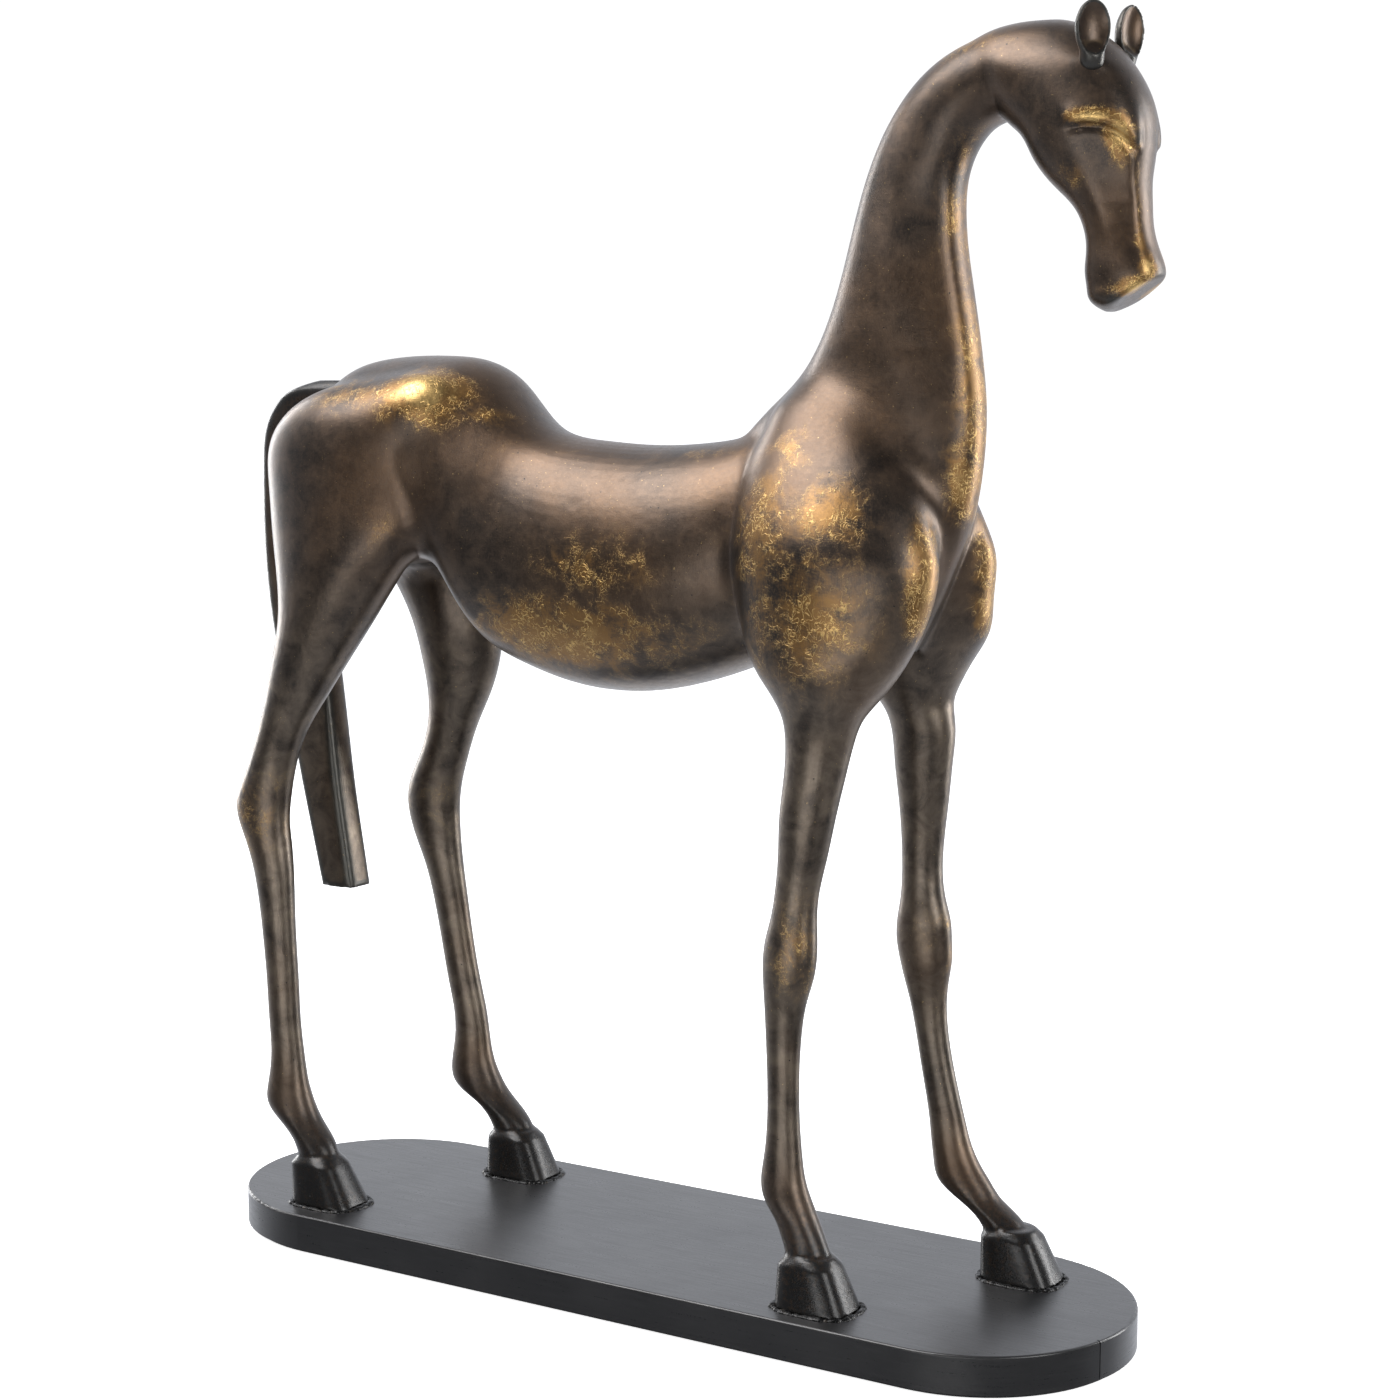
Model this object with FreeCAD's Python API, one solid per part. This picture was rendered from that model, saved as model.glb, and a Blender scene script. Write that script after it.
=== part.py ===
import FreeCAD, Part
import math
import os

V = FreeCAD.Vector

# ---------------------------------------------------------------------------
# Standing horse on a stadium-shaped plinth.  Millimetres, +Z up.
# Origin: centre of the felt underside of the plinth.  +X: where the head
# looks.  The horse's right side is -Y, its left side is +Y.
# ---------------------------------------------------------------------------

# Plinth
PLINTH_LENGTH = 500.0
PLINTH_WIDTH = 150.0
PLINTH_TOP = 20.0
FELT_THICKNESS = 2.0
FELT_INSET = 3.0
SKIRT_WALL = 2.0
SKIRT_SEAM_GAP = 0.6
SKIRT_SEAM_X = 247.0
SKIRT_EDGE_ROUND = 1.2
TOP_PLATE_THICKNESS = 3.0
CORE_CLEARANCE = 0.5
NUT_POCKET_RADIUS = 11.0

# Fasteners under each hoof (M6)
STUD_RADIUS = 3.0
STUD_BOTTOM = 5.5
STUD_TOP = 36.0
PLATE_HOLE_RADIUS = 3.2
WASHER_RADIUS = 6.0
WASHER_THICKNESS = 1.6
NUT_ACROSS_FLATS = 10.0
NUT_HEIGHT = 5.0

# Locating pins between the castings
LEG_PIN_RADIUS = 4.0
LEG_PIN_LENGTH = 30.0
NECK_PIN_RADIUS = 4.0
NECK_PIN_LENGTH = 30.0
NECK_PIN_SPREAD = 56.0
HEAD_PIN_RADIUS = 4.0
HEAD_PIN_LENGTH = 24.0
TAIL_PIN_RADIUS = 2.5
TAIL_PIN_LENGTH = 20.0
TAIL_PIN_X = -222.0
TAIL_PIN_Z = 412.0

# Castings
WALL = 4.5
CAVITY_LOW_Z = 318.0
CAVITY_HIGH_Z = 434.0
LEG_JOINT_Z = 298.0
BEAD_WIDTH = 2.4
BEAD_HEIGHT = 2.2

RING_POINTS = 16
# A periodic cubic B-spline lies inside its control ring by this factor.
RING_GROWTH = 6.0 / (4.0 + 2.0 * math.cos(2.0 * math.pi / RING_POINTS))

# Legs from the hoof's top to inside the body:
# (z, x of the centre, y of the centre, half depth along x, half width along y)
RIGHT_HIND = [
    (32, -178.0, -48.0, 11.0, 9.5),
    (41, -181.5, -48.0, 11.0, 9.5),
    (50, -185.5, -47.5, 11.2, 9.8),
    (60, -194.5, -47.0, 11.6, 10.5),
    (70, -202.0, -47.0, 13.2, 11.0),
    (80, -203.5, -47.0, 11.5, 9.5),
    (92, -204.0, -46.5, 9.7, 8.0),
    (112, -205.5, -46.5, 8.9, 7.4),
    (133, -207.0, -46.0, 9.1, 7.4),
    (155, -208.5, -46.0, 9.4, 7.6),
    (176, -210.5, -45.5, 10.3, 8.2),
    (197, -213.5, -45.0, 12.0, 9.4),
    (208, -216.5, -44.5, 13.4, 10.2),
    (218, -219.0, -44.5, 15.0, 10.8),
    (228, -219.5, -44.0, 16.0, 11.2),
    (238, -217.0, -43.5, 14.8, 11.2),
    (250, -213.0, -43.0, 13.4, 11.2),
    (268, -206.0, -42.0, 14.0, 12.2),
    (282, -199.5, -41.0, 16.8, 14.0),
    (303, -189.5, -40.0, 21.8, 17.0),
    (324, -180.0, -38.5, 27.5, 19.5),
    (345, -173.5, -37.0, 36.0, 21.0),
    (368, -168.0, -35.5, 46.0, 21.5),
    (392, -167.0, -34.0, 50.5, 21.0),
    (412, -165.5, -33.0, 52.5, 20.5),
    (430, -156.5, -32.5, 49.5, 18.5),
    (442, -144.5, -31.0, 39.0, 14.0),
    (449, -128.0, -29.0, 14.0, 6.0),
]
LEFT_HIND = [
    (32, -121.5, 46.0, 11.0, 9.5),
    (40, -123.5, 46.0, 11.0, 9.5),
    (48, -127.5, 46.0, 11.4, 9.8),
    (58, -137.0, 45.5, 11.4, 10.5),
    (67, -148.0, 45.5, 14.6, 11.0),
    (78, -151.5, 45.0, 12.8, 10.0),
    (90, -152.0, 45.0, 10.6, 8.4),
    (104, -153.0, 45.0, 9.6, 7.8),
    (122, -157.0, 45.0, 9.5, 7.5),
    (144, -161.5, 45.0, 9.4, 7.6),
    (165, -165.0, 44.5, 9.9, 8.0),
    (187, -169.5, 44.0, 11.4, 9.0),
    (198, -172.5, 44.0, 13.2, 9.8),
    (209, -174.5, 43.5, 14.8, 10.6),
    (220, -175.0, 43.0, 15.7, 11.2),
    (231, -173.0, 42.5, 15.6, 11.4),
    (242, -168.5, 42.0, 14.5, 11.2),
    (254, -163.5, 41.5, 13.8, 11.4),
    (265, -159.5, 41.0, 14.6, 12.2),
    (282, -154.5, 40.0, 18.5, 14.5),
    (300, -153.0, 39.5, 23.0, 17.0),
    (320, -154.5, 38.5, 26.5, 19.5),
    (345, -162.0, 37.0, 33.0, 21.0),
    (368, -167.0, 35.5, 43.5, 21.5),
    (392, -167.0, 34.0, 50.5, 21.0),
    (412, -165.5, 33.0, 52.5, 20.5),
    (430, -156.5, 32.5, 49.5, 18.5),
    (442, -144.5, 31.0, 39.0, 14.0),
    (449, -128.0, 29.0, 14.0, 6.0),
]
RIGHT_FORE = [
    (32, 116.5, -49.5, 11.0, 9.5),
    (41, 114.5, -49.5, 10.8, 9.4),
    (51, 110.5, -49.0, 10.8, 9.4),
    (60, 106.5, -49.0, 10.7, 9.6),
    (68, 102.0, -49.0, 11.6, 9.8),
    (77, 99.0, -48.5, 11.0, 9.0),
    (87, 98.5, -48.0, 9.6, 7.8),
    (105, 98.0, -47.0, 8.0, 6.8),
    (124, 97.5, -46.5, 7.8, 6.8),
    (143, 97.0, -45.5, 8.6, 7.4),
    (162, 97.5, -44.5, 10.6, 9.0),
    (172, 98.5, -44.0, 12.4, 10.2),
    (181, 99.0, -43.5, 13.1, 10.8),
    (190, 99.5, -43.0, 12.6, 10.6),
    (200, 100.5, -42.5, 11.2, 9.6),
    (210, 101.5, -42.0, 10.7, 9.2),
    (228, 104.0, -41.0, 11.8, 10.2),
    (247, 106.0, -40.0, 13.5, 11.6),
    (266, 108.5, -38.0, 14.7, 12.8),
    (284, 110.5, -36.5, 16.8, 14.4),
    (293, 111.5, -36.0, 19.6, 16.4),
    (302, 112.5, -35.0, 26.0, 20.0),
    (312, 112.5, -34.0, 34.0, 24.0),
    (326, 112.5, -32.5, 42.5, 26.0),
    (345, 113.5, -30.5, 49.0, 27.0),
    (365, 113.0, -29.5, 52.0, 27.5),
    (385, 110.5, -27.0, 49.0, 25.5),
    (405, 107.5, -23.5, 42.5, 22.5),
    (425, 103.5, -19.5, 32.0, 17.5),
    (440, 101.0, -16.0, 20.0, 11.0),
    (446, 100.0, -15.0, 8.0, 4.0),
]
LEFT_FORE = [
    (30, 177.5, 37.0, 11.0, 9.5),
    (38, 175.0, 37.0, 10.8, 9.4),
    (47, 169.0, 37.0, 10.8, 9.4),
    (55, 158.5, 37.0, 11.0, 9.6),
    (63, 150.0, 37.0, 13.2, 10.0),
    (72, 145.5, 37.0, 11.4, 9.2),
    (82, 142.5, 37.0, 9.8, 8.2),
    (92, 140.5, 37.0, 9.0, 7.4),
    (110, 136.5, 37.0, 8.3, 6.9),
    (130, 132.5, 37.0, 8.1, 6.9),
    (150, 129.5, 37.0, 9.5, 7.8),
    (160, 128.5, 37.0, 11.4, 9.2),
    (169, 128.0, 37.0, 13.2, 10.4),
    (179, 127.0, 37.0, 14.0, 11.0),
    (189, 127.0, 36.5, 13.4, 10.8),
    (198, 126.5, 36.5, 11.5, 9.8),
    (208, 126.0, 36.5, 10.3, 9.0),
    (228, 126.0, 36.5, 10.6, 9.4),
    (247, 126.5, 36.0, 12.4, 10.8),
    (266, 126.5, 35.5, 14.4, 12.4),
    (284, 126.0, 35.0, 16.0, 14.0),
    (295, 122.5, 35.0, 18.5, 16.6),
    (304, 119.0, 35.0, 25.5, 19.5),
    (314, 116.5, 34.5, 33.5, 23.5),
    (328, 115.0, 33.0, 43.5, 26.5),
    (345, 113.5, 30.5, 49.0, 27.0),
    (365, 113.0, 29.5, 52.0, 27.5),
    (385, 110.5, 27.0, 49.0, 25.5),
    (405, 107.5, 23.5, 42.5, 22.5),
    (425, 103.5, 19.5, 32.0, 17.5),
    (440, 101.0, 16.0, 20.0, 11.0),
    (446, 100.0, 15.0, 8.0, 4.0),
]

# Hooves: centre of the sole, half length, half width; the hoof leans back
# towards its coronet.
HOOF_SOLE = (19.5, 15.0)
HOOF_CORONET = (14.4, 12.0)
HOOF_CROWN = (11.5, 10.0)
HOOF_HEIGHT = 20.5
HOOF_CROWN_RISE = 4.0
HOOF_SQUARENESS = 3.0
HOOVES = {
    "right_hind": (-175.0, -48.0, -182.0),
    "left_hind": (-119.0, 46.0, -124.0),
    "right_fore": (118.5, -50.0, 114.5),
    "left_fore": (181.5, 37.0, 176.0),
}

# Barrel from the tail end to the chest: (x, top z, bottom z, half width)
BARREL = [
    (-213, 416, 382, 9),
    (-209, 430, 362, 24),
    (-200, 439, 350, 35),
    (-185, 450, 347, 42),
    (-163, 457, 350, 46),
    (-142, 458.5, 353, 47),
    (-121, 458, 349, 46.5),
    (-101, 453, 320, 44),
    (-84, 440.5, 307.5, 41.5),
    (-70, 427.5, 302.5, 40),
    (-54, 420, 298, 39.5),
    (-30, 416.5, 294.5, 40.5),
    (0, 415, 295.5, 42),
    (28, 416.5, 301.5, 41),
    (52, 420.5, 309.5, 38),
    (78, 429, 319, 33),
    (104, 432, 324, 29),
    (128, 424, 330, 24),
    (147, 404, 342, 16),
    (155, 386, 356, 8),
]

BARREL_CAVITY = (2, -2)
BARREL_SQUARENESS = 2.2

# Neck: (crest x, crest z, front x, front z, half width)
NECK = [
    (22, 388, 140, 322, 20),
    (41, 411, 152, 345, 25),
    (58, 428, 160, 364, 27),
    (74, 442, 167.5, 385, 26.5),
    (85, 454, 171.5, 408, 25.5),
    (94, 469.5, 172.5, 431, 24.5),
    (101, 488, 170, 457, 23),
    (107, 509, 165.5, 485, 21.5),
    (111.5, 525.5, 162, 507, 20),
    (116.5, 540.5, 161, 521.5, 19),
    (122.5, 554, 161.5, 533, 18.5),
    (130, 566.5, 164.5, 543.5, 18),
    (140.5, 579, 169.5, 552, 18),
    (154.5, 589.5, 176, 558.5, 18.5),
    (171, 596.5, 184.5, 563, 19.5),
]
NECK_JOINT = 5
NECK_CAVITY = (6, 12)
NECK_SQUARENESS = 2.3

# Head, hanging almost straight down: (z, back x, front x, half width)
HEAD = [
    (601.5, 190, 210, 6),
    (598.5, 174, 220, 13),
    (592.5, 165, 230, 18.5),
    (584, 167, 238, 23),
    (573, 176, 245, 24.5),
    (563, 184, 249.5, 24.5),
    (552, 192, 251.5, 23.5),
    (542, 198.5, 251, 21.5),
    (532, 207.5, 250, 18.5),
    (522, 217, 250.5, 15.5),
    (512, 222, 251.5, 13.8),
    (502, 223.5, 254.5, 13.8),
    (493, 223, 257.5, 14.2),
    (486, 224, 256.5, 13.8),
    (479, 227, 251, 11.5),
    (475.5, 233, 243, 5),
]
HEAD_CAVITY = (5, 11)
HEAD_SQUARENESS = 2.5

# Tail: (z, centre x, half depth along x, half width along y)
TAIL = [
    (446, -203, 8, 5),
    (443, -207, 16, 7.5),
    (434, -217, 22.5, 8),
    (420, -226.5, 21, 8.3),
    (400, -230.5, 19, 8.5),
    (370, -231, 18.5, 8.8),
    (340, -229.5, 18, 9),
    (310, -226, 17, 9),
    (270, -219, 15, 9),
    (230, -212, 13, 9),
    (205, -207, 12, 9),
    (178, -201.5, 11, 9),
]
TAIL_SQUARENESS = 5.0

# Ears: (height along the ear, half width, half thickness)
EAR = [
    (-6.0, 4.2, 3.8),
    (0.8, 4.8, 4.0),
    (4.2, 6.6, 4.8),
    (8.4, 7.8, 5.2),
    (13.4, 7.9, 5.0),
    (17.6, 6.6, 4.2),
    (21.0, 4.2, 2.8),
    (22.7, 1.6, 1.3),
]
EAR_LEAN = (2.0, 3.5, 30.0)
EAR_TUCK = 6.0
RIGHT_EAR_ROOT = V(231.4, -19.4, 583.6)
LEFT_EAR_ROOT = V(231.0, 18.8, 586.0)
RIGHT_EAR_FACING = V(0.75, -0.66, 0.0)
LEFT_EAR_FACING = V(0.95, -0.30, 0.0)
EAR_SCOOP_RADIUS = 6.0
EAR_SCOOP_STRETCH = (1.45, 1.0, 2.15)
EAR_SCOOP_HEIGHT = 12.4
EAR_BACK = -1.4


def ring(centre, along_a, along_b, half_a, half_b, squareness=2.0):
    """Control points of a closed rounded section round centre."""
    points = []
    for index in range(RING_POINTS):
        angle = 2.0 * math.pi * index / RING_POINTS
        c = math.cos(angle)
        s = math.sin(angle)
        reach_a = math.copysign(abs(c) ** (2.0 / squareness), c) * half_a
        reach_b = math.copysign(abs(s) ** (2.0 / squareness), s) * half_b
        offset = along_a * (reach_a * RING_GROWTH) + along_b * (reach_b * RING_GROWTH)
        points.append(centre + offset)
    return points


def spaced(centres):
    """Running length along the centres, used as the skin's parameter."""
    lengths = [0.0]
    for before, after in zip(centres, centres[1:]):
        lengths.append(lengths[-1] + (after - before).Length)
    return lengths


def skin(rings):
    """A smooth closed solid through the rings, with a flat end at each end."""
    centres = [sum(points, V()) * (1.0 / len(points)) for points in rings]
    parameters = spaced(centres)
    poles = []
    knots = None
    mults = None
    for column in range(RING_POINTS):
        curve = Part.BSplineCurve()
        curve.interpolate(
            Points=[points[column] for points in rings], Parameters=parameters
        )
        poles.append(curve.getPoles())
        knots = curve.getKnots()
        mults = curve.getMultiplicities()
    surface = Part.BSplineSurface()
    surface.buildFromPolesMultsKnots(
        poles,
        [1] * (RING_POINTS + 1),
        mults,
        [float(k) for k in range(RING_POINTS + 1)],
        knots,
        True,
        False,
        3,
        3,
    )
    side = surface.toShape()
    first = surface.vIso(knots[0]).toShape()
    last = surface.vIso(knots[-1]).toShape()
    caps = [Part.Face(Part.Wire([edge])) for edge in (first, last)]
    shell = Part.makeShell([side] + caps)
    shell.sewShape()
    solid = Part.makeSolid(Part.Shell(shell.Faces))
    if solid.Volume < 0:
        solid.reverse()
    return solid


def upright_skin(stations, squareness=2.0):
    """Skin through level sections (z, x, y, half x, half y)."""
    rings = []
    for z, x, y, half_x, half_y in stations:
        rings.append(ring(V(x, y, z), V(1, 0, 0), V(0, 1, 0), half_x, half_y, squareness))
    return skin(rings)


def above(solid, point, normal):
    """The part of the solid on the side of the plane that normal points to."""
    return solid.common(half_space(point, normal))


def half_space(point, normal):
    size = 900.0
    box = Part.makeBox(size, size, size, V(-size / 2, -size / 2, 0))
    box.Placement = FreeCAD.Placement(point, FreeCAD.Rotation(V(0, 0, 1), normal))
    return box


def rod(start, direction, radius, length):
    return Part.makeCylinder(radius, length, start, direction)


def barrel_rings(shrink, first=0, last=None):
    """Upright sections across the barrel, made smaller by shrink."""
    rings = []
    for x, top, bottom, half_width in BARREL[first:last]:
        centre = V(x, 0, (top + bottom) / 2.0)
        half_height = (top - bottom) / 2.0 - shrink
        rings.append(ring(centre, V(0, 1, 0), V(0, 0, 1), half_width - shrink, half_height, BARREL_SQUARENESS))
    return rings


def neck_frame(station):
    """Centre, direction from crest to front, half depth and half width."""
    crest_x, crest_z, front_x, front_z, half_width = station
    crest = V(crest_x, 0, crest_z)
    front = V(front_x, 0, front_z)
    across = front - crest
    half_depth = across.Length / 2.0
    across.normalize()
    return (crest + front) * 0.5, across, half_depth, half_width


def neck_rings(stations, shrink):
    """Sections across the neck, each in its own tilted plane."""
    rings = []
    for station in stations:
        centre, across, half_depth, half_width = neck_frame(station)
        deep = half_depth - shrink
        wide = half_width - shrink
        rings.append(ring(centre, across, V(0, 1, 0), deep, wide, NECK_SQUARENESS))
    return rings


def head_rings(stations, shrink):
    """Level sections across the head."""
    rings = []
    for z, back_x, front_x, half_width in stations:
        centre = V((back_x + front_x) / 2.0, 0, z)
        half_x = (front_x - back_x) / 2.0 - shrink
        half_y = half_width - shrink
        rings.append(ring(centre, V(1, 0, 0), V(0, 1, 0), half_x, half_y, HEAD_SQUARENESS))
    return rings


def build_hoof(name):
    """A squarish hoof that leans back, with a bevelled top under the leg."""
    sole_x, y, coronet_x = HOOVES[name]
    sole = ring(V(sole_x, y, PLINTH_TOP), V(1, 0, 0), V(0, 1, 0), *HOOF_SOLE, HOOF_SQUARENESS)
    coronet_z = PLINTH_TOP + HOOF_HEIGHT
    coronet = ring(
        V(coronet_x, y, coronet_z), V(1, 0, 0), V(0, 1, 0), *HOOF_CORONET, HOOF_SQUARENESS
    )
    crown = ring(
        V(coronet_x, y, coronet_z + HOOF_CROWN_RISE), V(1, 0, 0), V(0, 1, 0), *HOOF_CROWN
    )
    wires = []
    for points in (sole, coronet, crown):
        curve = Part.BSplineCurve()
        curve.buildFromPoles(points, True, 3)
        wires.append(Part.Wire([curve.toShape()]))
    return Part.makeLoft(wires, True, True)


def build_leg(name, stations):
    """A whole leg with its hoof, reaching up inside the body."""
    return upright_skin(stations).fuse(build_hoof(name))


def mass_cavity(stations):
    """Hollow inside the haunch or shoulder at the top of a leg."""
    hollow = []
    for z, x, y, half_x, half_y in stations:
        if CAVITY_LOW_Z <= z <= CAVITY_HIGH_Z:
            hollow.append((z, x, y, half_x - WALL, half_y - WALL))
    return hollow


def leg_pin_axis(stations):
    """Where a leg's locating pin crosses its joint plane."""
    for lower, upper in zip(stations, stations[1:]):
        if lower[0] <= LEG_JOINT_Z <= upper[0]:
            share = (LEG_JOINT_Z - lower[0]) / float(upper[0] - lower[0])
            x = lower[1] + share * (upper[1] - lower[1])
            y = lower[2] + share * (upper[2] - lower[2])
            return x, y
    raise ValueError("the joint plane misses the leg")


def build_ear(side, root, facing):
    """A leaf-shaped cup whose hollow faces forwards and outwards."""
    lean = V(EAR_LEAN[0], side * EAR_LEAN[1], EAR_LEAN[2])
    lean.normalize()
    wide = facing.cross(lean)
    wide.normalize()
    facing = lean.cross(wide)
    rings = []
    for height, half_wide, half_thick in EAR:
        inwards = V(0, -side * EAR_TUCK if height < 0 else 0, 0)
        rings.append(ring(root + lean * height + inwards, wide, facing, half_wide, half_thick))
    leaf = skin(rings)
    scoop_centre = root + lean * EAR_SCOOP_HEIGHT + facing * (EAR_SCOOP_RADIUS + EAR_BACK)
    scoop = Part.makeSphere(EAR_SCOOP_RADIUS)
    stretch = FreeCAD.Matrix()
    stretch.scale(V(*EAR_SCOOP_STRETCH))
    scoop = scoop.transformGeometry(stretch)
    turn = FreeCAD.Rotation(wide, facing, lean, "ZXY")
    scoop.Placement = FreeCAD.Placement(scoop_centre, turn)
    return leaf.cut(scoop)


def stadium(length, width, z, height):
    """A flat slab with straight sides and half-round ends."""
    radius = width / 2.0
    reach = length / 2.0 - radius
    left = Part.makeCylinder(radius, height, V(-reach, 0, z))
    right = Part.makeCylinder(radius, height, V(reach, 0, z))
    middle = Part.makeBox(2 * reach, width, height, V(-reach, -radius, z))
    return left.fuse(right).fuse(middle).removeSplitter()


def bead_round(name):
    """Low fillet of weld metal round the foot of one hoof."""
    sole_x, y, _ = HOOVES[name]
    half_x = HOOF_SOLE[0] + BEAD_WIDTH
    half_y = HOOF_SOLE[1] + BEAD_WIDTH
    low = ring(V(sole_x, y, PLINTH_TOP), V(1, 0, 0), V(0, 1, 0), half_x, half_y, HOOF_SQUARENESS)
    high = ring(
        V(sole_x, y, PLINTH_TOP + BEAD_HEIGHT),
        V(1, 0, 0),
        V(0, 1, 0),
        half_x - BEAD_WIDTH / 2,
        half_y - BEAD_WIDTH / 2,
        HOOF_SQUARENESS,
    )
    wires = []
    for points in (low, high):
        curve = Part.BSplineCurve()
        curve.buildFromPoles(points, True, 3)
        wires.append(Part.Wire([curve.toShape()]))
    return Part.makeLoft(wires, True, True).cut(build_hoof(name))


def largest(shape):
    return max(shape.Solids, key=lambda solid: solid.Volume)


nodes = {}

# --- Legs -------------------------------------------------------------------
LEGS = {
    "right_hind": RIGHT_HIND,
    "left_hind": LEFT_HIND,
    "right_fore": RIGHT_FORE,
    "left_fore": LEFT_FORE,
}
upper_masses = []
pin_holes = []
for name, stations in LEGS.items():
    leg = build_leg(name, stations)
    joint = V(0, 0, LEG_JOINT_Z)
    upper_masses.append(largest(above(leg, joint, V(0, 0, 1))))
    lower = largest(above(leg, joint, V(0, 0, -1)))
    x, y = leg_pin_axis(stations)
    pin = rod(V(x, y, LEG_JOINT_Z - LEG_PIN_LENGTH / 2), V(0, 0, 1), LEG_PIN_RADIUS, LEG_PIN_LENGTH)
    pin_holes.append(pin)
    sole_x, sole_y, _ = HOOVES[name]
    stud = rod(V(sole_x, sole_y, STUD_BOTTOM), V(0, 0, 1), STUD_RADIUS, STUD_TOP - STUD_BOTTOM)
    nodes["leg_" + name] = lower.cut(pin).cut(stud)
    nodes["leg_pin_" + name] = pin
    nodes["hoof_stud_" + name] = stud
    nodes["hoof_weld_" + name] = bead_round(name)

# --- Torso and neck -----------------------------------------------------------
joint_centre, joint_across, _, _ = neck_frame(NECK[NECK_JOINT])
joint_up = V(-joint_across.z, 0, joint_across.x)
neck_whole = skin(neck_rings(NECK, 0.0))
neck_base = largest(above(neck_whole, joint_centre, joint_up * -1.0))
neck_upper = largest(above(neck_whole, joint_centre, joint_up))
neck_cavity = skin(neck_rings(NECK[NECK_CAVITY[0]:NECK_CAVITY[1]], WALL))
barrel = skin(barrel_rings(0.0))
torso = barrel
for mass in upper_masses + [neck_base]:
    torso = torso.fuse(mass)
torso_cavities = [skin(barrel_rings(WALL, *BARREL_CAVITY)), skin(neck_rings(NECK[1:NECK_JOINT], WALL))]
for stations in LEGS.values():
    torso_cavities.append(upright_skin(mass_cavity(stations)))
for cavity in torso_cavities:
    torso = torso.cut(cavity)
for hole in pin_holes:
    torso = torso.cut(hole)
neck_pins = []
for sign in (-1, 1):
    middle = joint_centre + joint_across * (sign * NECK_PIN_SPREAD / 2)
    start = middle - joint_up * (NECK_PIN_LENGTH / 2)
    neck_pins.append(rod(start, joint_up, NECK_PIN_RADIUS, NECK_PIN_LENGTH))
neck = neck_upper.cut(neck_cavity)
for pin, place in zip(neck_pins, ("rear", "front")):
    torso = torso.cut(pin)
    neck = neck.cut(pin)
    nodes["neck_pin_" + place] = pin

# --- Head and ears ------------------------------------------------------------
poll_centre, poll_across, _, _ = neck_frame(NECK[-1])
poll_forward = V(-poll_across.z, 0, poll_across.x)
head = largest(above(skin(head_rings(HEAD, 0.0)), poll_centre, poll_forward))
head = head.cut(skin(head_rings(HEAD[HEAD_CAVITY[0]:HEAD_CAVITY[1]], WALL)))
head_pin = rod(
    poll_centre - poll_forward * (HEAD_PIN_LENGTH / 2),
    poll_forward,
    HEAD_PIN_RADIUS,
    HEAD_PIN_LENGTH,
)
head = head.cut(head_pin)
neck = neck.cut(head_pin)
nodes["head_pin"] = head_pin
nodes["ear_right"] = largest(build_ear(-1, RIGHT_EAR_ROOT, RIGHT_EAR_FACING).cut(head))
nodes["ear_left"] = largest(build_ear(1, LEFT_EAR_ROOT, LEFT_EAR_FACING).cut(head))

# --- Tail ---------------------------------------------------------------------
tail_stations = [(z, x, 0, half_x, half_y) for z, x, half_x, half_y in TAIL]
tail = upright_skin(tail_stations[::-1], TAIL_SQUARENESS).cut(barrel)
for mass in upper_masses[:2]:
    tail = tail.cut(mass)
tail = largest(tail)
tail_pin = rod(V(TAIL_PIN_X, 0, TAIL_PIN_Z), V(1, 0, 0), TAIL_PIN_RADIUS, TAIL_PIN_LENGTH)
tail = tail.cut(tail_pin)
torso = torso.cut(tail_pin)
nodes["tail"] = tail
nodes["tail_pin"] = tail_pin
nodes["torso_casting"] = largest(torso)
nodes["neck_casting"] = largest(neck)
nodes["head_casting"] = head

# --- Plinth ---------------------------------------------------------------------
skirt_z = FELT_THICKNESS
plate_z = PLINTH_TOP - TOP_PLATE_THICKNESS
inner_length = PLINTH_LENGTH - 2 * SKIRT_WALL
inner_width = PLINTH_WIDTH - 2 * SKIRT_WALL
skirt = stadium(PLINTH_LENGTH, PLINTH_WIDTH, skirt_z, PLINTH_TOP - skirt_z)
outer_top_edges = []
for edge in skirt.Edges:
    if edge.BoundBox.ZMin > PLINTH_TOP - 0.1:
        outer_top_edges.append(edge)
skirt = skirt.makeFillet(SKIRT_EDGE_ROUND, outer_top_edges)
skirt = skirt.cut(stadium(inner_length, inner_width, skirt_z, PLINTH_TOP - skirt_z))
end_reach = PLINTH_LENGTH / 2 - PLINTH_WIDTH / 2
seam_angle = math.degrees(math.acos((SKIRT_SEAM_X - end_reach) / (PLINTH_WIDTH / 2)))
seam = Part.makeBox(
    SKIRT_WALL + 2, SKIRT_SEAM_GAP, PLINTH_TOP, V(PLINTH_WIDTH / 2 - SKIRT_WALL - 1, 0, 0)
)
seam.rotate(V(0, 0, 0), V(0, 0, 1), -seam_angle)
seam.translate(V(end_reach, 0, 0))
nodes["plinth_skirt"] = skirt.cut(seam)
plate = stadium(inner_length, inner_width, plate_z, TOP_PLATE_THICKNESS)
core = stadium(
    inner_length - 2 * CORE_CLEARANCE,
    inner_width - 2 * CORE_CLEARANCE,
    skirt_z,
    plate_z - skirt_z,
)
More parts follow.
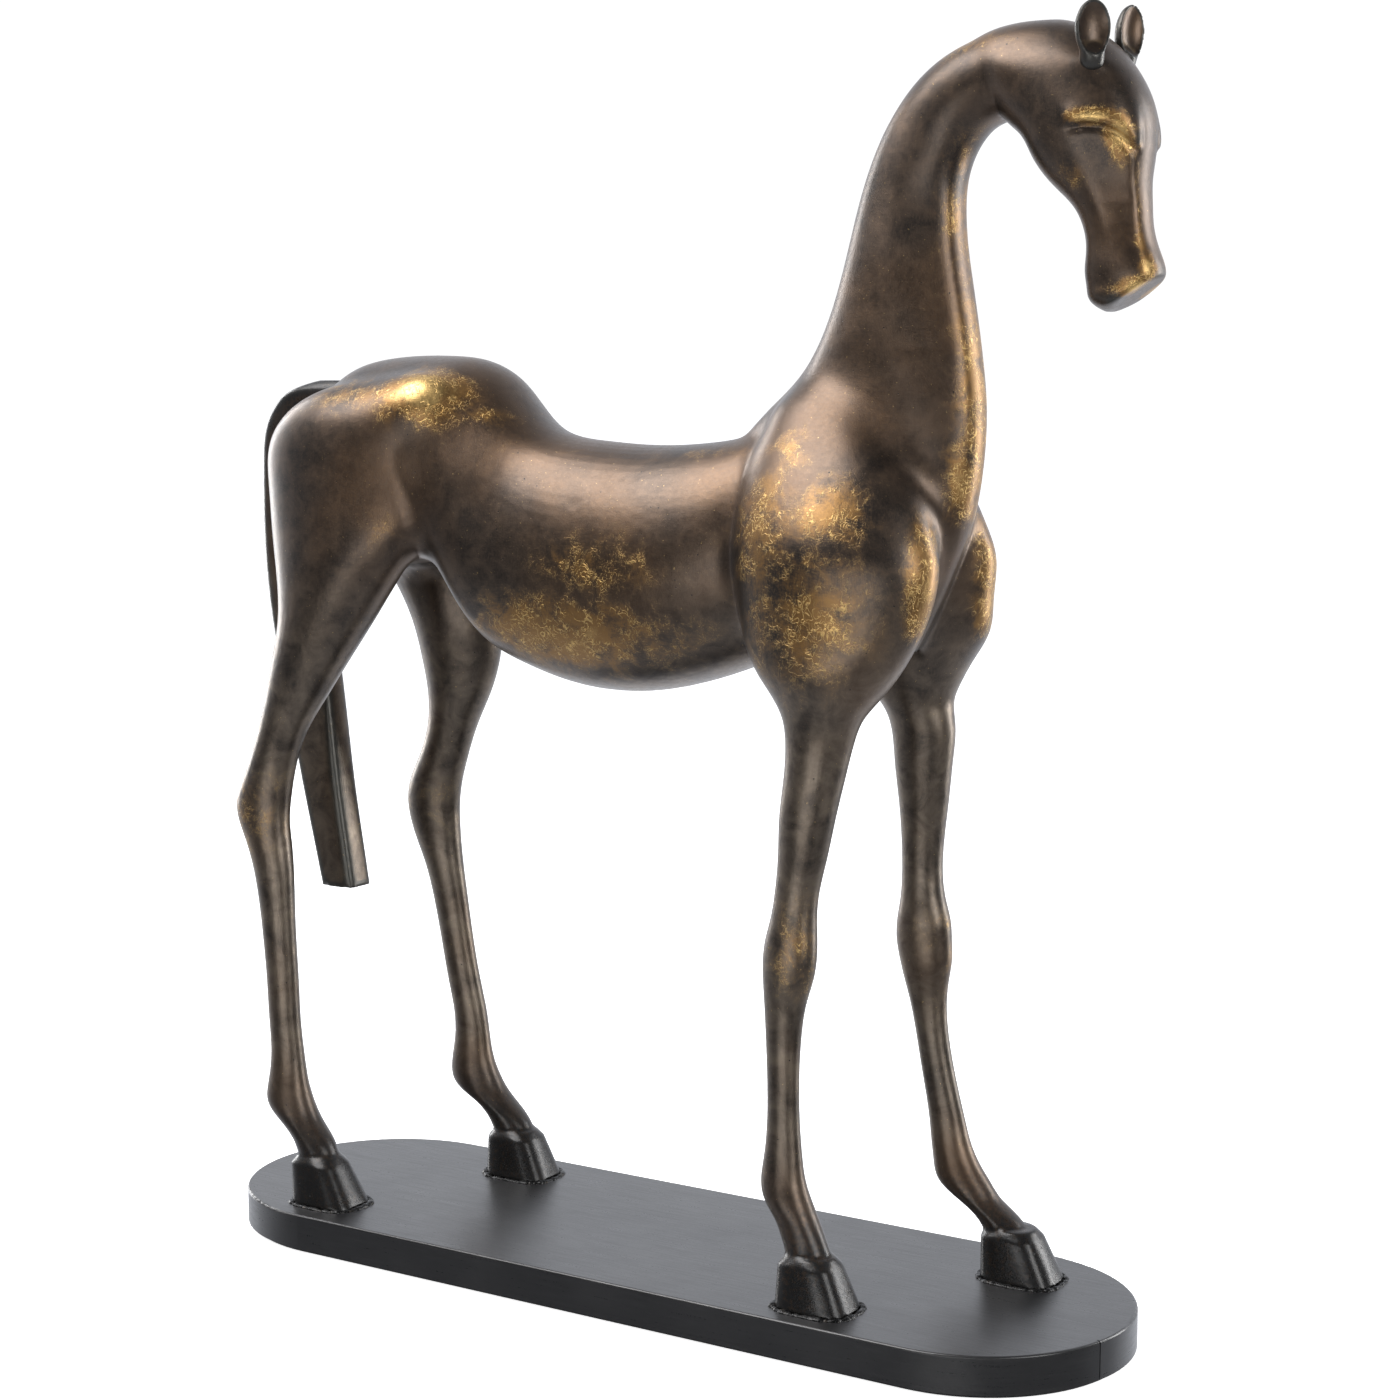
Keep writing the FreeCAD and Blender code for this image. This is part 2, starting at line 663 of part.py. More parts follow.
for name in LEGS:
    x, y, _ = HOOVES[name]
    plate = plate.cut(rod(V(x, y, plate_z), V(0, 0, 1), PLATE_HOLE_RADIUS, TOP_PLATE_THICKNESS))
    core = core.cut(rod(V(x, y, skirt_z), V(0, 0, 1), NUT_POCKET_RADIUS, plate_z - skirt_z))
    washer_z = plate_z - WASHER_THICKNESS
    hole = rod(V(x, y, washer_z), V(0, 0, 1), STUD_RADIUS, WASHER_THICKNESS)
    washer = rod(V(x, y, washer_z), V(0, 0, 1), WASHER_RADIUS, WASHER_THICKNESS)
    nodes["washer_" + name] = washer.cut(hole)
    nut_z = washer_z - NUT_HEIGHT
    corner = NUT_ACROSS_FLATS / 2 / math.cos(math.pi / 6)
    hexagon = []
    for index in range(7):
        angle = math.pi / 3 * index
        hexagon.append(V(x + corner * math.cos(angle), y + corner * math.sin(angle), nut_z))
    nut = Part.Face(Part.makePolygon(hexagon)).extrude(V(0, 0, NUT_HEIGHT))
    nodes["nut_" + name] = nut.cut(rod(V(x, y, nut_z), V(0, 0, 1), STUD_RADIUS, NUT_HEIGHT))
nodes["plinth_top_plate"] = plate
nodes["plinth_core_board"] = core
nodes["felt_underlay"] = stadium(
    PLINTH_LENGTH - 2 * FELT_INSET, PLINTH_WIDTH - 2 * FELT_INSET, 0.0, FELT_THICKNESS
)

os.makedirs("parts", exist_ok=True)
for name, shape in nodes.items():
    if not shape.isValid() or len(shape.Solids) != 1:
        print("check", name, "valid:", shape.isValid(), "solids:", len(shape.Solids))
    shape.exportStep("parts/" + name + ".step")
print(len(nodes), "nodes")
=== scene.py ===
import math

import bmesh
import bpy
import numpy as np
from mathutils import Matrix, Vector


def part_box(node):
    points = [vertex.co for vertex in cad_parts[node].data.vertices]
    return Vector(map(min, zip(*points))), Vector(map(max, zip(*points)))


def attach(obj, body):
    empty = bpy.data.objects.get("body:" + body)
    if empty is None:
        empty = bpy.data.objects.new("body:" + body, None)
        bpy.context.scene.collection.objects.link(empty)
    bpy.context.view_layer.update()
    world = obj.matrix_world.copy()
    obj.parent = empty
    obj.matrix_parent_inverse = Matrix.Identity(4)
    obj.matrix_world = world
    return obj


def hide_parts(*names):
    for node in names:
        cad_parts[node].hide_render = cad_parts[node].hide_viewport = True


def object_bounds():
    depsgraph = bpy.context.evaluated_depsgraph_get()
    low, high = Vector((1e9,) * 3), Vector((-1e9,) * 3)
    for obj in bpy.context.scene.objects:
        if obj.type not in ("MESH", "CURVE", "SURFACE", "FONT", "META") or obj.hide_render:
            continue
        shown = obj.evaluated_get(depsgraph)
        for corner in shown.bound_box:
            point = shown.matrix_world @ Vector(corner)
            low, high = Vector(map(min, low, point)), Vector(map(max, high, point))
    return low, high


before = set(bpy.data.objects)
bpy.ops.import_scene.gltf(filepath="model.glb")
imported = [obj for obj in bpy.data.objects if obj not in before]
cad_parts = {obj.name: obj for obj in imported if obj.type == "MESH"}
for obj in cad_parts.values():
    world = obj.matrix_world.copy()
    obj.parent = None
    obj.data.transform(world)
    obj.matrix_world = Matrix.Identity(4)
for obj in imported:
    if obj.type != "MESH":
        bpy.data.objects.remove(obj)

import openvdb
from mathutils import Vector, noise

# ---------------------------------------------------------------------------
# Patinated bronze horse on a black sheet-metal plinth.  Metres, +Z up, the
# head looks along +X and the horse's right side is -Y.
#
# The castings' looks come from one sculpted skin.  The CAD castings are turned
# into a field of signed distances, their creases are filled, the modelling
# marks are carved into the field, and the skin is cut again at the joints.
# ---------------------------------------------------------------------------

MM = 0.001
CELL = 1.0 * MM
EAR_CELL = 0.5 * MM
WELD_THICKNESS = 2.4 * MM     # how far a weld's box reaches out past its hoof
BEAD_MIDDLE = 1.9 * MM        # how far inside that box the bead's middle runs
cad_low, cad_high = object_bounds()

LEGS = ("right_hind", "left_hind", "right_fore", "left_fore")
CASTINGS = ["torso_casting", "neck_casting", "head_casting"] + ["leg_" + leg for leg in LEGS]
PINS = ["neck_pin_rear", "neck_pin_front", "head_pin", "tail_pin"] + ["leg_pin_" + leg for leg in LEGS]
RIGHT_AND_LEFT = (-1, 1)
PLINTH_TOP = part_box("plinth_top_plate")[1].z
MUZZLE_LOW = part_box("head_casting")[0].z


# --- Distance fields ----------------------------------------------------------
def outer_shell(node):
    """Points and triangles of the outermost closed shell of a CAD node."""
    shell = bmesh.new()
    shell.from_mesh(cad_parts[node].data)
    bmesh.ops.remove_doubles(shell, verts=shell.verts, dist=0.002 * MM)
    bmesh.ops.triangulate(shell, faces=shell.faces)
    lowest = min(shell.verts, key=lambda vert: vert.co.z)
    reached = {lowest}
    border = [lowest]
    while border:
        vert = border.pop()
        for edge in vert.link_edges:
            other = edge.other_vert(vert)
            if other not in reached:
                reached.add(other)
                border.append(other)
    hidden = [vert for vert in shell.verts if vert not in reached]
    bmesh.ops.delete(shell, geom=hidden, context="VERTS")
    shell.verts.index_update()
    points = np.array([vert.co for vert in shell.verts], np.float32)
    triangles = np.array([[vert.index for vert in face.verts] for face in shell.faces], np.uint32)
    shell.free()
    return points, triangles


def joined_shells(nodes):
    """The outer shells of several CAD nodes as one set of points and triangles."""
    points = []
    triangles = []
    count = 0
    for node in nodes:
        own_points, own_triangles = outer_shell(node)
        points.append(own_points)
        triangles.append(own_triangles + count)
        count += len(own_points)
    return np.concatenate(points), np.concatenate(triangles)


def gentle_step(values, start, end):
    """From 0 at start to 1 at end, with soft ends."""
    share = np.clip((values - start) / (end - start), 0, 1)
    return share * share * (3 - 2 * share)


def bell(values, middle, reach):
    """1 at the middle, fading away over the reach."""
    return np.exp(-(((values - middle) / reach) ** 2))


def soft_larger(a, b, width):
    """The larger of two fields, rounded where they cross."""
    near = np.clip(0.5 + 0.5 * (a - b) / width, 0, 1)
    return b + (a - b) * near + width * near * (1 - near)


def running_mean(block, half, axis):
    """Each cell's mean over half cells to either side along one axis."""
    padding = [(0, 0)] * 3
    padding[axis] = (half + 1, half)
    total = np.cumsum(np.pad(block, padding, mode="edge"), axis=axis, dtype=np.float64)
    size = block.shape[axis]
    high = np.take(total, np.arange(2 * half + 1, 2 * half + 1 + size), axis=axis)
    low = np.take(total, np.arange(0, size), axis=axis)
    return ((high - low) / (2 * half + 1)).astype(np.float32)


def front_line(profile, xs):
    """For each height, how far forward a side outline reaches."""
    inside = profile < 0
    last = len(xs) - 1 - inside[::-1].argmax(axis=0)
    last = np.clip(last, 0, len(xs) - 2)
    heights = np.arange(profile.shape[1])
    here = profile[last, heights]
    ahead = profile[last + 1, heights]
    step = np.clip(-here / np.maximum(ahead - here, 1e-9), 0, 1)
    line = np.where(inside.any(axis=0), xs[last] + step * (xs[1] - xs[0]), xs[0])
    kernel = np.ones(5) / 5
    return np.convolve(np.pad(line, 2, mode="edge"), kernel, mode="valid")


class Field:
    """Signed distances on a grid, and the ways to model them like clay."""

    def __init__(self, low, high, cell):
        self.cell = cell
        self.start = np.floor(np.array(low) / cell).astype(int)
        self.shape = np.ceil(np.array(high) / cell).astype(int) - self.start + 1
        self.corner = tuple(int(value) for value in self.start)
        self.transform = openvdb.createLinearTransform(voxelSize=cell)
        self.axes = [
            ((self.start[i] + np.arange(self.shape[i])) * cell).astype(np.float32) for i in range(3)
        ]
        self.block = None

    def distances(self, grid):
        """A sparse grid's distances as a full block."""
        block = np.empty(self.shape, np.float32)
        grid.copyToArray(block, ijk=self.corner)
        return block

    def level_set(self, points, faces, reach):
        """Distances from a closed mesh, out to reach on both sides of it."""
        kind = "quads" if faces.shape[1] == 4 else "triangles"
        return openvdb.FloatGrid.createLevelSetFromPolygons(
            points=points, transform=self.transform, halfWidth=reach / self.cell, **{kind: faces}
        )

    def fill(self, points, faces, radius):
        """Loads a solid and returns it with its creases filled to radius."""
        reach = radius + 4 * self.cell
        grid = self.level_set(points, faces, reach)
        plain = self.distances(grid)
        grown_points, grown_faces = grid.convertToQuads(isovalue=radius)
        filled = self.distances(self.level_set(grown_points, grown_faces, reach)) + radius
        return plain, np.minimum(plain, filled)

    def window(self, low, high):
        """Slices and coordinates of the part of the grid inside a box."""
        cuts = []
        for axis, a, b in zip(self.axes, low, high):
            first = int(np.searchsorted(axis, a))
            last = max(int(np.searchsorted(axis, b)), first + 1)
            cuts.append(slice(first, last))
        x = self.axes[0][cuts[0]][:, None, None]
        y = self.axes[1][cuts[1]][None, :, None]
        z = self.axes[2][cuts[2]][None, None, :]
        return tuple(cuts), x, y, z

    def press(self, middle, radii, depth):
        """Pushes a soft hollow in, or with a negative depth draws a swelling out."""
        middle = np.array(middle)
        radii = np.array(radii)
        cuts, x, y, z = self.window(middle - 2.6 * radii, middle + 2.6 * radii)
        falloff = bell(x, middle[0], radii[0]) * bell(y, middle[1], radii[1]) * bell(z, middle[2], radii[2])
        self.block[cuts] += depth * falloff

    def soften(self, middle, radii, size):
        """Melts bumps and creases smaller than size near a place."""
        middle = np.array(middle)
        radii = np.array(radii)
        cuts, x, y, z = self.window(middle - 2.2 * radii, middle + 2.2 * radii)
        block = self.block[cuts]
        blurred = block
        half = max(int(size / self.cell / 2), 1)
        for axis in (0, 1, 2, 0, 1, 2):
            blurred = running_mean(blurred, half, axis)
        offsets = ((x - middle[0]) / radii[0]) ** 2 + ((y - middle[1]) / radii[1]) ** 2
        weight = np.exp(-((offsets + ((z - middle[2]) / radii[2]) ** 2) ** 2))
        self.block[cuts] = block + (blurred - block) * weight

    def skin(self):
        """The modelled surface, as points and four-sided faces."""
        grid = openvdb.FloatGrid(float(4 * self.cell))
        grid.transform = self.transform
        limited = np.clip(self.block, -4 * self.cell, 4 * self.cell)
        grid.copyFromArray(limited, ijk=self.corner, tolerance=self.cell * 0.001)
        points, faces = grid.convertToQuads(isovalue=0.0)
        return points.astype(float), faces[:, ::-1].astype(int)


def neighbours_of(faces):
    """Each edge once, as two columns of point numbers."""
    sides = np.concatenate([faces[:, [i, (i + 1) % faces.shape[1]]] for i in range(faces.shape[1])])
    sides.sort(axis=1)
    return np.unique(sides, axis=0)


def averaged(values, edges, count):
    """Each point's mean over its neighbours."""
    total = np.zeros_like(values)
    for column in range(values.shape[1]):
        total[:, column] = np.bincount(edges[:, 0], values[edges[:, 1], column], count)
        total[:, column] += np.bincount(edges[:, 1], values[edges[:, 0], column], count)
    share = np.bincount(edges.ravel(), minlength=count)
    return total / np.maximum(share, 1)[:, None]


def relaxed(points, edges, rounds):
    """Evens out the grid's steps without shrinking thin limbs."""
    for _ in range(rounds):
        points = points + 0.5 * (averaged(points, edges, len(points)) - points)
        points = points - 0.53 * (averaged(points, edges, len(points)) - points)
    return points


def point_normals(points, faces):
    """Each point's normal, from the four-sided faces round it."""
    a = points[faces[:, 2]] - points[faces[:, 0]]
    b = points[faces[:, 3]] - points[faces[:, 1]]
    across = np.cross(a, b)
    normals = np.zeros_like(points)
    for column in range(3):
        for corner in range(4):
            normals[:, column] += np.bincount(faces[:, corner], across[:, column], len(points))
    return normals / np.maximum(np.linalg.norm(normals, axis=1), 1e-12)[:, None]


# --- Modelling the horse --------------------------------------------------------
BODY_FILLET = 12 * MM
EYE_X = 0.2304
EYE_Z = 0.5362
EYE_REACH = 0.0185
BROW_RING = 1.12              # radius of the brow's ridge, in eye reaches
CREASE_RING = 0.95            # and of the crease under it
NOSE_HEIGHTS = (0.476, 0.485, 0.494, 0.503, 0.512, 0.522, 0.532, 0.542, 0.552, 0.562)
NOSE_HALF_WIDTHS = (0.0090, 0.0098, 0.0104, 0.0093, 0.0086, 0.0088, 0.0100, 0.0116, 0.0130, 0.0150)
NOSE_SIDE_SLOPE = 0.40
HOOF_SIDE_SLOPE = 0.13
HOOF_FRONT_SLOPE = 0.42
HOOF_CORNER_SLOPE = 0.38
HOOF_SHARE = 0.97             # the facets' place at the foot, as a share of the hoof's

# What each mark models: its middle, its radii, and the size of what melts or
# the depth of the press.  On the sides, Y is how far out the mark lies.
SOFT_ON_THE_SIDES = {
    "croup": ((-0.130, 0.034, 0.435), (0.050, 0.032, 0.028), 15 * MM),
    "buttock": ((-0.185, 0.040, 0.395), (0.030, 0.026, 0.050), 9 * MM),
    "withers": ((0.100, 0.026, 0.438), (0.045, 0.024, 0.026), 13 * MM),
    "neck root": ((0.150, 0.030, 0.400), (0.030, 0.020, 0.030), 11 * MM),
}
PRESSED_ON_THE_SIDES = {
    "point of hip": ((-0.113, 0.040, 0.436), (0.019, 0.018, 0.016), -3.8 * MM),
    "dip behind the hip": ((-0.154, 0.040, 0.442), (0.020, 0.018, 0.014), 1.6 * MM),
    "dip before the shoulder blade": ((0.104, 0.044, 0.430), (0.030, 0.022, 0.024), 2.0 * MM),
    "shoulder blade": ((0.112, 0.056, 0.376), (0.034, 0.022, 0.028), -2.4 * MM),
    "flank": ((-0.112, 0.052, 0.385), (0.011, 0.014, 0.034), 2.6 * MM),
    "crease behind the shoulder": ((0.060, 0.046, 0.365), (0.014, 0.014, 0.045), 1.6 * MM),
    "edge of the back": ((0.020, 0.020, 0.423), (0.070, 0.016, 0.008), 1.0 * MM),
}
SOFT_ON_THE_MIDDLE = {
    "loin": ((-0.070, 0.0, 0.430), (0.030, 0.045, 0.022), 13 * MM),
    "poll": ((0.178, 0.0, 0.590), (0.022, 0.024, 0.020), 9 * MM),
}
PRESSED_ON_THE_LEFT = {
    "top of the left hip": ((-0.095, 0.010, 0.447), (0.020, 0.030, 0.014), -1.3 * MM),
    "point of the left shoulder": ((0.153, 0.050, 0.338), (0.016, 0.016, 0.020), -1.6 * MM),
    "dip above the left shoulder": ((0.155, 0.045, 0.374), (0.016, 0.016, 0.018), 1.2 * MM),
}
PRESSED_ON_THE_HEAD = {
    "forehead": ((0.245, 0.008, 0.573), (0.012, 0.020, 0.018), -0.9 * MM),
    "cheek": ((0.211, 0.000, 0.532), (0.012, 0.020, 0.012), -0.9 * MM),
    "hollow behind the jaw": ((0.195, 0.000, 0.551), (0.008, 0.020, 0.010), 1.6 * MM),
    "throat": ((0.185, 0.000, 0.557), (0.010, 0.020, 0.010), -1.6 * MM),
}


def model_horse():
    """The castings and their pins as one piece of clay, filled, shaped and skinned."""
    margin = 3 * MM
    boxes = [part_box(node) for node in CASTINGS]
    low = [min(box[0][i] for box in boxes) - margin for i in range(3)]
    high = [max(box[1][i] for box in boxes) + margin for i in range(3)]
    clay = Field(low, high, CELL)
    points, triangles = joined_shells(CASTINGS + PINS)
    plain, filled = clay.fill(points, triangles, BODY_FILLET)
    x = clay.axes[0][:, None, None]
    z = clay.axes[2][None, None, :]
    leg_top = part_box("leg_right_fore")[1].z
    throat = bell(x, 0.186, 0.022) * bell(z, 0.556, 0.018)
    body = gentle_step(z, leg_top - 0.006, leg_top + 0.03)
    shoulder = bell(x, 0.062, 0.03) * bell(z, 0.36, 0.06)
    flank = bell(x, -0.118, 0.022) * bell(z, 0.345, 0.020)
    chest = bell(x, 0.165, 0.03) * bell(z, 0.345, 0.035)
    hooves = 1 - gentle_step(z, 0.050, 0.062)
    share = body * (1 - 0.45 * shoulder) * (1 - 0.55 * chest) * (1 - 0.8 * throat)
    share = share * (1 - 0.75 * flank) + 0.15 * hooves
    clay.block = plain + (filled - plain) * share
    shape_body(clay)
    shape_neck(clay)
    shape_head(clay)
    shape_hooves(clay)
    return clay.skin()


def on_side(side, middle):
    """A place given for one side, on the right (-1) or the left (1)."""
    return middle[0], side * middle[1], middle[2]


def shape_body(clay):
    """Hips, shoulders, flanks and back, modelled alike on both sides but for the last."""
    for side in RIGHT_AND_LEFT:
        for middle, radii, size in SOFT_ON_THE_SIDES.values():
            clay.soften(on_side(side, middle), radii, size)
        for middle, radii, depth in PRESSED_ON_THE_SIDES.values():
            clay.press(on_side(side, middle), radii, depth)
    for middle, radii, size in SOFT_ON_THE_MIDDLE.values():
        clay.soften(middle, radii, size)
    for middle, radii, depth in PRESSED_ON_THE_LEFT.values():
        clay.press(middle, radii, depth)


def narrow_forwards(clay, low, high, half_width, slope, rounding, strength):
    """Draws both sides in towards a flat band down the front of a part."""
    cuts, x, y, z = clay.window(low, high)
    block = clay.block[cuts]
    middle = int(np.argmin(np.abs(y[0, :, 0])))
    front = front_line(block[:, middle, :], x[:, 0, 0])[None, None, :]
    behind = np.maximum(front - x, 0)
    sides = (np.abs(y) - half_width(z) - slope(z) * behind) / np.hypot(1, slope(z))
    cut = soft_larger(block, sides.astype(np.float32), rounding)
    clay.block[cuts] = block + (cut - block) * strength(z)


def shape_neck(clay):
    """A narrow flat band down the front, with a hollow beside its foot."""
    narrow_forwards(
        clay, (0.09, -0.06, 0.380), (0.182, 0.06, 0.560),
        lambda z: np.interp(z, (0.39, 0.44), (0.0085, 0.0110)),
        lambda z: np.interp(z, (0.39, 0.46), (1.05, 0.46)), 4 * MM,
        lambda z: gentle_step(z, 0.388, 0.435) * (1 - gentle_step(z, 0.520, 0.550)),
    )
    for side in RIGHT_AND_LEFT:
        clay.press((0.146, side * 0.028, 0.432), (0.024, 0.012, 0.034), 1.8 * MM)


def shape_head(clay):
    """A flat nose with flat sides, and a brow crease curving over each eye."""
    narrow_forwards(
        clay, (0.17, -0.045, MUZZLE_LOW - 0.01), (0.27, 0.045, 0.590),
        lambda z: np.interp(z, NOSE_HEIGHTS, NOSE_HALF_WIDTHS),
        lambda z: NOSE_SIDE_SLOPE, 1.4 * MM,
        lambda z: 1 - gentle_step(z, 0.545, 0.575),
    )
    cuts, x, y, z = clay.window((0.17, -0.045, MUZZLE_LOW - 0.01), (0.27, 0.045, 0.604))
    block = clay.block[cuts]
    lip = 0.555 * (x - 0.2570) - 0.832 * (z - 0.4903)
    block = soft_larger(block, lip.astype(np.float32), 2.0 * MM)
    across = (x - EYE_X) / (BROW_RING * EYE_REACH)
    up = (z - EYE_Z) / EYE_REACH
    reach = np.sqrt(across ** 2 + up ** 2)
    facing = (0.40 * across + 0.917 * up) / np.maximum(reach, 0.1)
    over = gentle_step(facing, 0.60, 0.84) * gentle_step(np.abs(y), 0.007, 0.012)
    spread = np.where(reach > BROW_RING, 0.34, 0.10)
    ridge = bell(reach, BROW_RING, spread) * over
    crease = bell(reach, CREASE_RING, 0.085) * over
    clay.block[cuts] = block - 1.4 * MM * ridge + 1.3 * MM * crease
    for side in RIGHT_AND_LEFT:
        clay.press((0.212, side * 0.024, 0.545), (0.012, 0.010, 0.012), -0.6 * MM)
        clay.soften((0.219, side * 0.026, 0.518), (0.013, 0.016, 0.030), 10 * MM)
        clay.press((0.233, side * 0.020, 0.581), (0.010, 0.008, 0.004), -1.0 * MM)
    for middle, radii, depth in PRESSED_ON_THE_HEAD.values():
        clay.press(middle, radii, depth)


def shape_hooves(clay):
    """Flattens each hoof's sides and front into facets under a sharp coronet."""
    for leg in LEGS:
        low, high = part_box("hoof_weld_" + leg)
        middle = (low + high) / 2
        half_length = (high.x - low.x) / 2 - WELD_THICKNESS
        half_width = (high.y - low.y) / 2 - WELD_THICKNESS
        foot = (low.x - 0.004, low.y - 0.004, PLINTH_TOP - 0.005)
        coronet = (high.x + 0.004, high.y + 0.004, PLINTH_TOP + 0.026)
        cuts, x, y, z = clay.window(foot, coronet)
        rise = z - PLINTH_TOP
        ahead = x - middle.x
        aside = np.abs(y - middle.y)
        sides = aside - half_width * HOOF_SHARE + HOOF_SIDE_SLOPE * rise
        sides = sides / math.hypot(1, HOOF_SIDE_SLOPE)
        front = ahead - half_length * HOOF_SHARE + HOOF_FRONT_SLOPE * rise
        front = front / math.hypot(1, HOOF_FRONT_SLOPE)
        corner_at = HOOF_SHARE * (0.80 * half_length + 0.36 * half_width)
        corner = 0.80 * ahead + 0.60 * aside + HOOF_CORNER_SLOPE * rise
        corner = (corner - corner_at) / math.hypot(1, HOOF_CORNER_SLOPE)
        hoof = np.maximum(np.maximum(sides, front), corner)
        clay.block[cuts] = soft_larger(clay.block[cuts], hoof, 0.7 * MM)


# --- Cutting the skin into its castings -------------------------------------------
def joint_face(node):
    """Middle and outward direction of the largest flat face of a CAD node."""
    areas = {}
    middles = {}
    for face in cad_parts[node].data.polygons:
        offset = face.normal.dot(face.center)
        key = tuple(round(value, 3) for value in face.normal) + (round(offset, 4),)
        areas[key] = areas.get(key, 0) + face.area
        middles[key] = middles.get(key, Vector()) + face.center * face.area
    widest = max(areas, key=areas.get)
    return middles[widest] / areas[widest], Vector(widest[:3]).normalized()


def cut_at_joints(skin):
    """Cuts edges along every joint and gives each face its casting's number."""
    neck_middle, neck_out = joint_face("neck_casting")
    head_middle, head_out = joint_face("head_casting")
    planes = [(neck_middle, neck_out, 0.07), (head_middle, head_out, 0.045)]
    for leg in LEGS:
        low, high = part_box("leg_" + leg)
        top = Vector(((low.x + high.x) / 2, (low.y + high.y) / 2, high.z))
        planes.append((top, Vector((0, 0, 1)), 0.09))
    for middle, out, spread in planes:
        band = []
        for face in skin.faces:
            offset = face.calc_center_median() - middle
            if abs(offset.dot(out)) < 3 * CELL and offset.length < spread:
                band.append(face)
        near = set(band)
        edges = {edge for face in band for edge in face.edges}
        verts = {vert for face in band for vert in face.verts}
        bmesh.ops.bisect_plane(
            skin, geom=list(near) + list(edges) + list(verts), dist=1e-7, plane_co=middle, plane_no=out
        )
    leg_boxes = [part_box("leg_" + leg) for leg in LEGS]
    owner = skin.faces.layers.int.new("owner")
    for face in skin.faces:
        middle = face.calc_center_median()
        face[owner] = CASTINGS.index("torso_casting")
        if (middle - head_middle).dot(head_out) < 0 and middle.z > MUZZLE_LOW - 3 * MM:
            face[owner] = CASTINGS.index("head_casting")
        elif (middle - neck_middle).dot(neck_out) < 0 and middle.z > neck_middle.z - 0.04:
            face[owner] = CASTINGS.index("neck_casting")
        else:
            for leg, (low, high) in zip(LEGS, leg_boxes):
                own_side = (middle.y > 0) == (low.y + high.y > 0)
                if middle.z < high.z and own_side and low.x - 5 * MM < middle.x < high.x + 5 * MM:
                    face[owner] = CASTINGS.index("leg_" + leg)


def store(mesh, name, values):
    """Keeps one number per point of a mesh for its material to read."""
    layer = mesh.attributes.new(name, "FLOAT", "POINT")
    layer.data.foreach_set("value", np.asarray(values, np.float32))


PAINTS = ("edge", "rub_and_painted_light", "shins", "black")
# Where hands have rubbed through to gold, and a few spots of painted light marked below: middle, radii and
# strength, alike on both sides.
POLISHED_AND_PAINTED_LIGHT_SPOTS = {
    "point of hip": ((-0.113, 0.042, 0.441), (0.020, 0.018, 0.013), 1.15),
    "croup": ((-0.158, 0.040, 0.440), (0.026, 0.020, 0.010), 0.24),
    "stifle": ((-0.135, 0.055, 0.372), (0.012, 0.014, 0.012), 0.16),
    "top of the shoulder": ((0.094, 0.046, 0.416), (0.014, 0.022, 0.014), 0.26),
    "shoulder blade": ((0.124, 0.052, 0.386), (0.016, 0.020, 0.014), 0.48),
    "back of the shoulder": ((0.084, 0.056, 0.380), (0.022, 0.020, 0.034), 0.40),
    "whole shoulder": ((0.108, 0.058, 0.345), (0.040, 0.022, 0.040), 0.27),
    "upper arm": ((0.120, 0.058, 0.342), (0.016, 0.020, 0.014), 0.52),
    "side of the chest": ((0.162, 0.034, 0.350), (0.006, 0.014, 0.040), 0.60),
    # The belly's and ribs' gold is real rubbing, made stronger as painted light where the lamps light the
    # underside less.
    "belly": ((-0.030, 0.036, 0.324), (0.060, 0.022, 0.018), 0.50),
    "ribs": ((-0.012, 0.042, 0.358), (0.032, 0.020, 0.014), 0.34),
    "loin": ((-0.070, 0.030, 0.428), (0.034, 0.012, 0.006), 0.36),
    # A thin amber line along the back's edge: a painted highlight.
    "back": ((0.010, 0.028, 0.414), (0.060, 0.010, 0.004), 0.36),
    # The brow's gold is partly real rubbing and partly a painted highlight, laid smooth and bright above
    # the crease.
    "brow": ((0.233, 0.024, 0.5575), (0.009, 0.012, 0.0030), 1.25),
    "front of the brow": ((0.243, 0.019, 0.549), (0.0050, 0.010, 0.0090), 1.10),
    "cheek": ((0.221, 0.024, 0.532), (0.008, 0.012, 0.007), 0.26),
    "edge of the nose": ((0.252, 0.0095, 0.512), (0.0030, 0.0030, 0.034), 0.55),
    "tip of the nose": ((0.2555, 0.0100, 0.496), (0.0035, 0.0040, 0.008), 1.05),
    "lip": ((0.2485, 0.0105, 0.486), (0.0090, 0.0040, 0.0040), 1.00),
    "front of the neck": ((0.172, 0.004, 0.440), (0.010, 0.011, 0.070), 0.44),
    "foot of the neck": ((0.169, 0.010, 0.400), (0.009, 0.010, 0.020), 0.52),
    "throat": ((0.165, 0.006, 0.520), (0.012, 0.009, 0.040), 0.28),
    "crest": ((0.150, 0.016, 0.594), (0.030, 0.014, 0.008), 0.40),
    "right hock": ((-0.222, 0.046, 0.224), (0.016, 0.014, 0.022), 0.34),
    "left hock": ((-0.178, 0.046, 0.220), (0.016, 0.014, 0.022), 0.24),
    "right knee": ((0.106, 0.048, 0.186), (0.014, 0.014, 0.022), 0.22),
    "left knee": ((0.134, 0.040, 0.178), (0.014, 0.014, 0.024), 0.20),
}


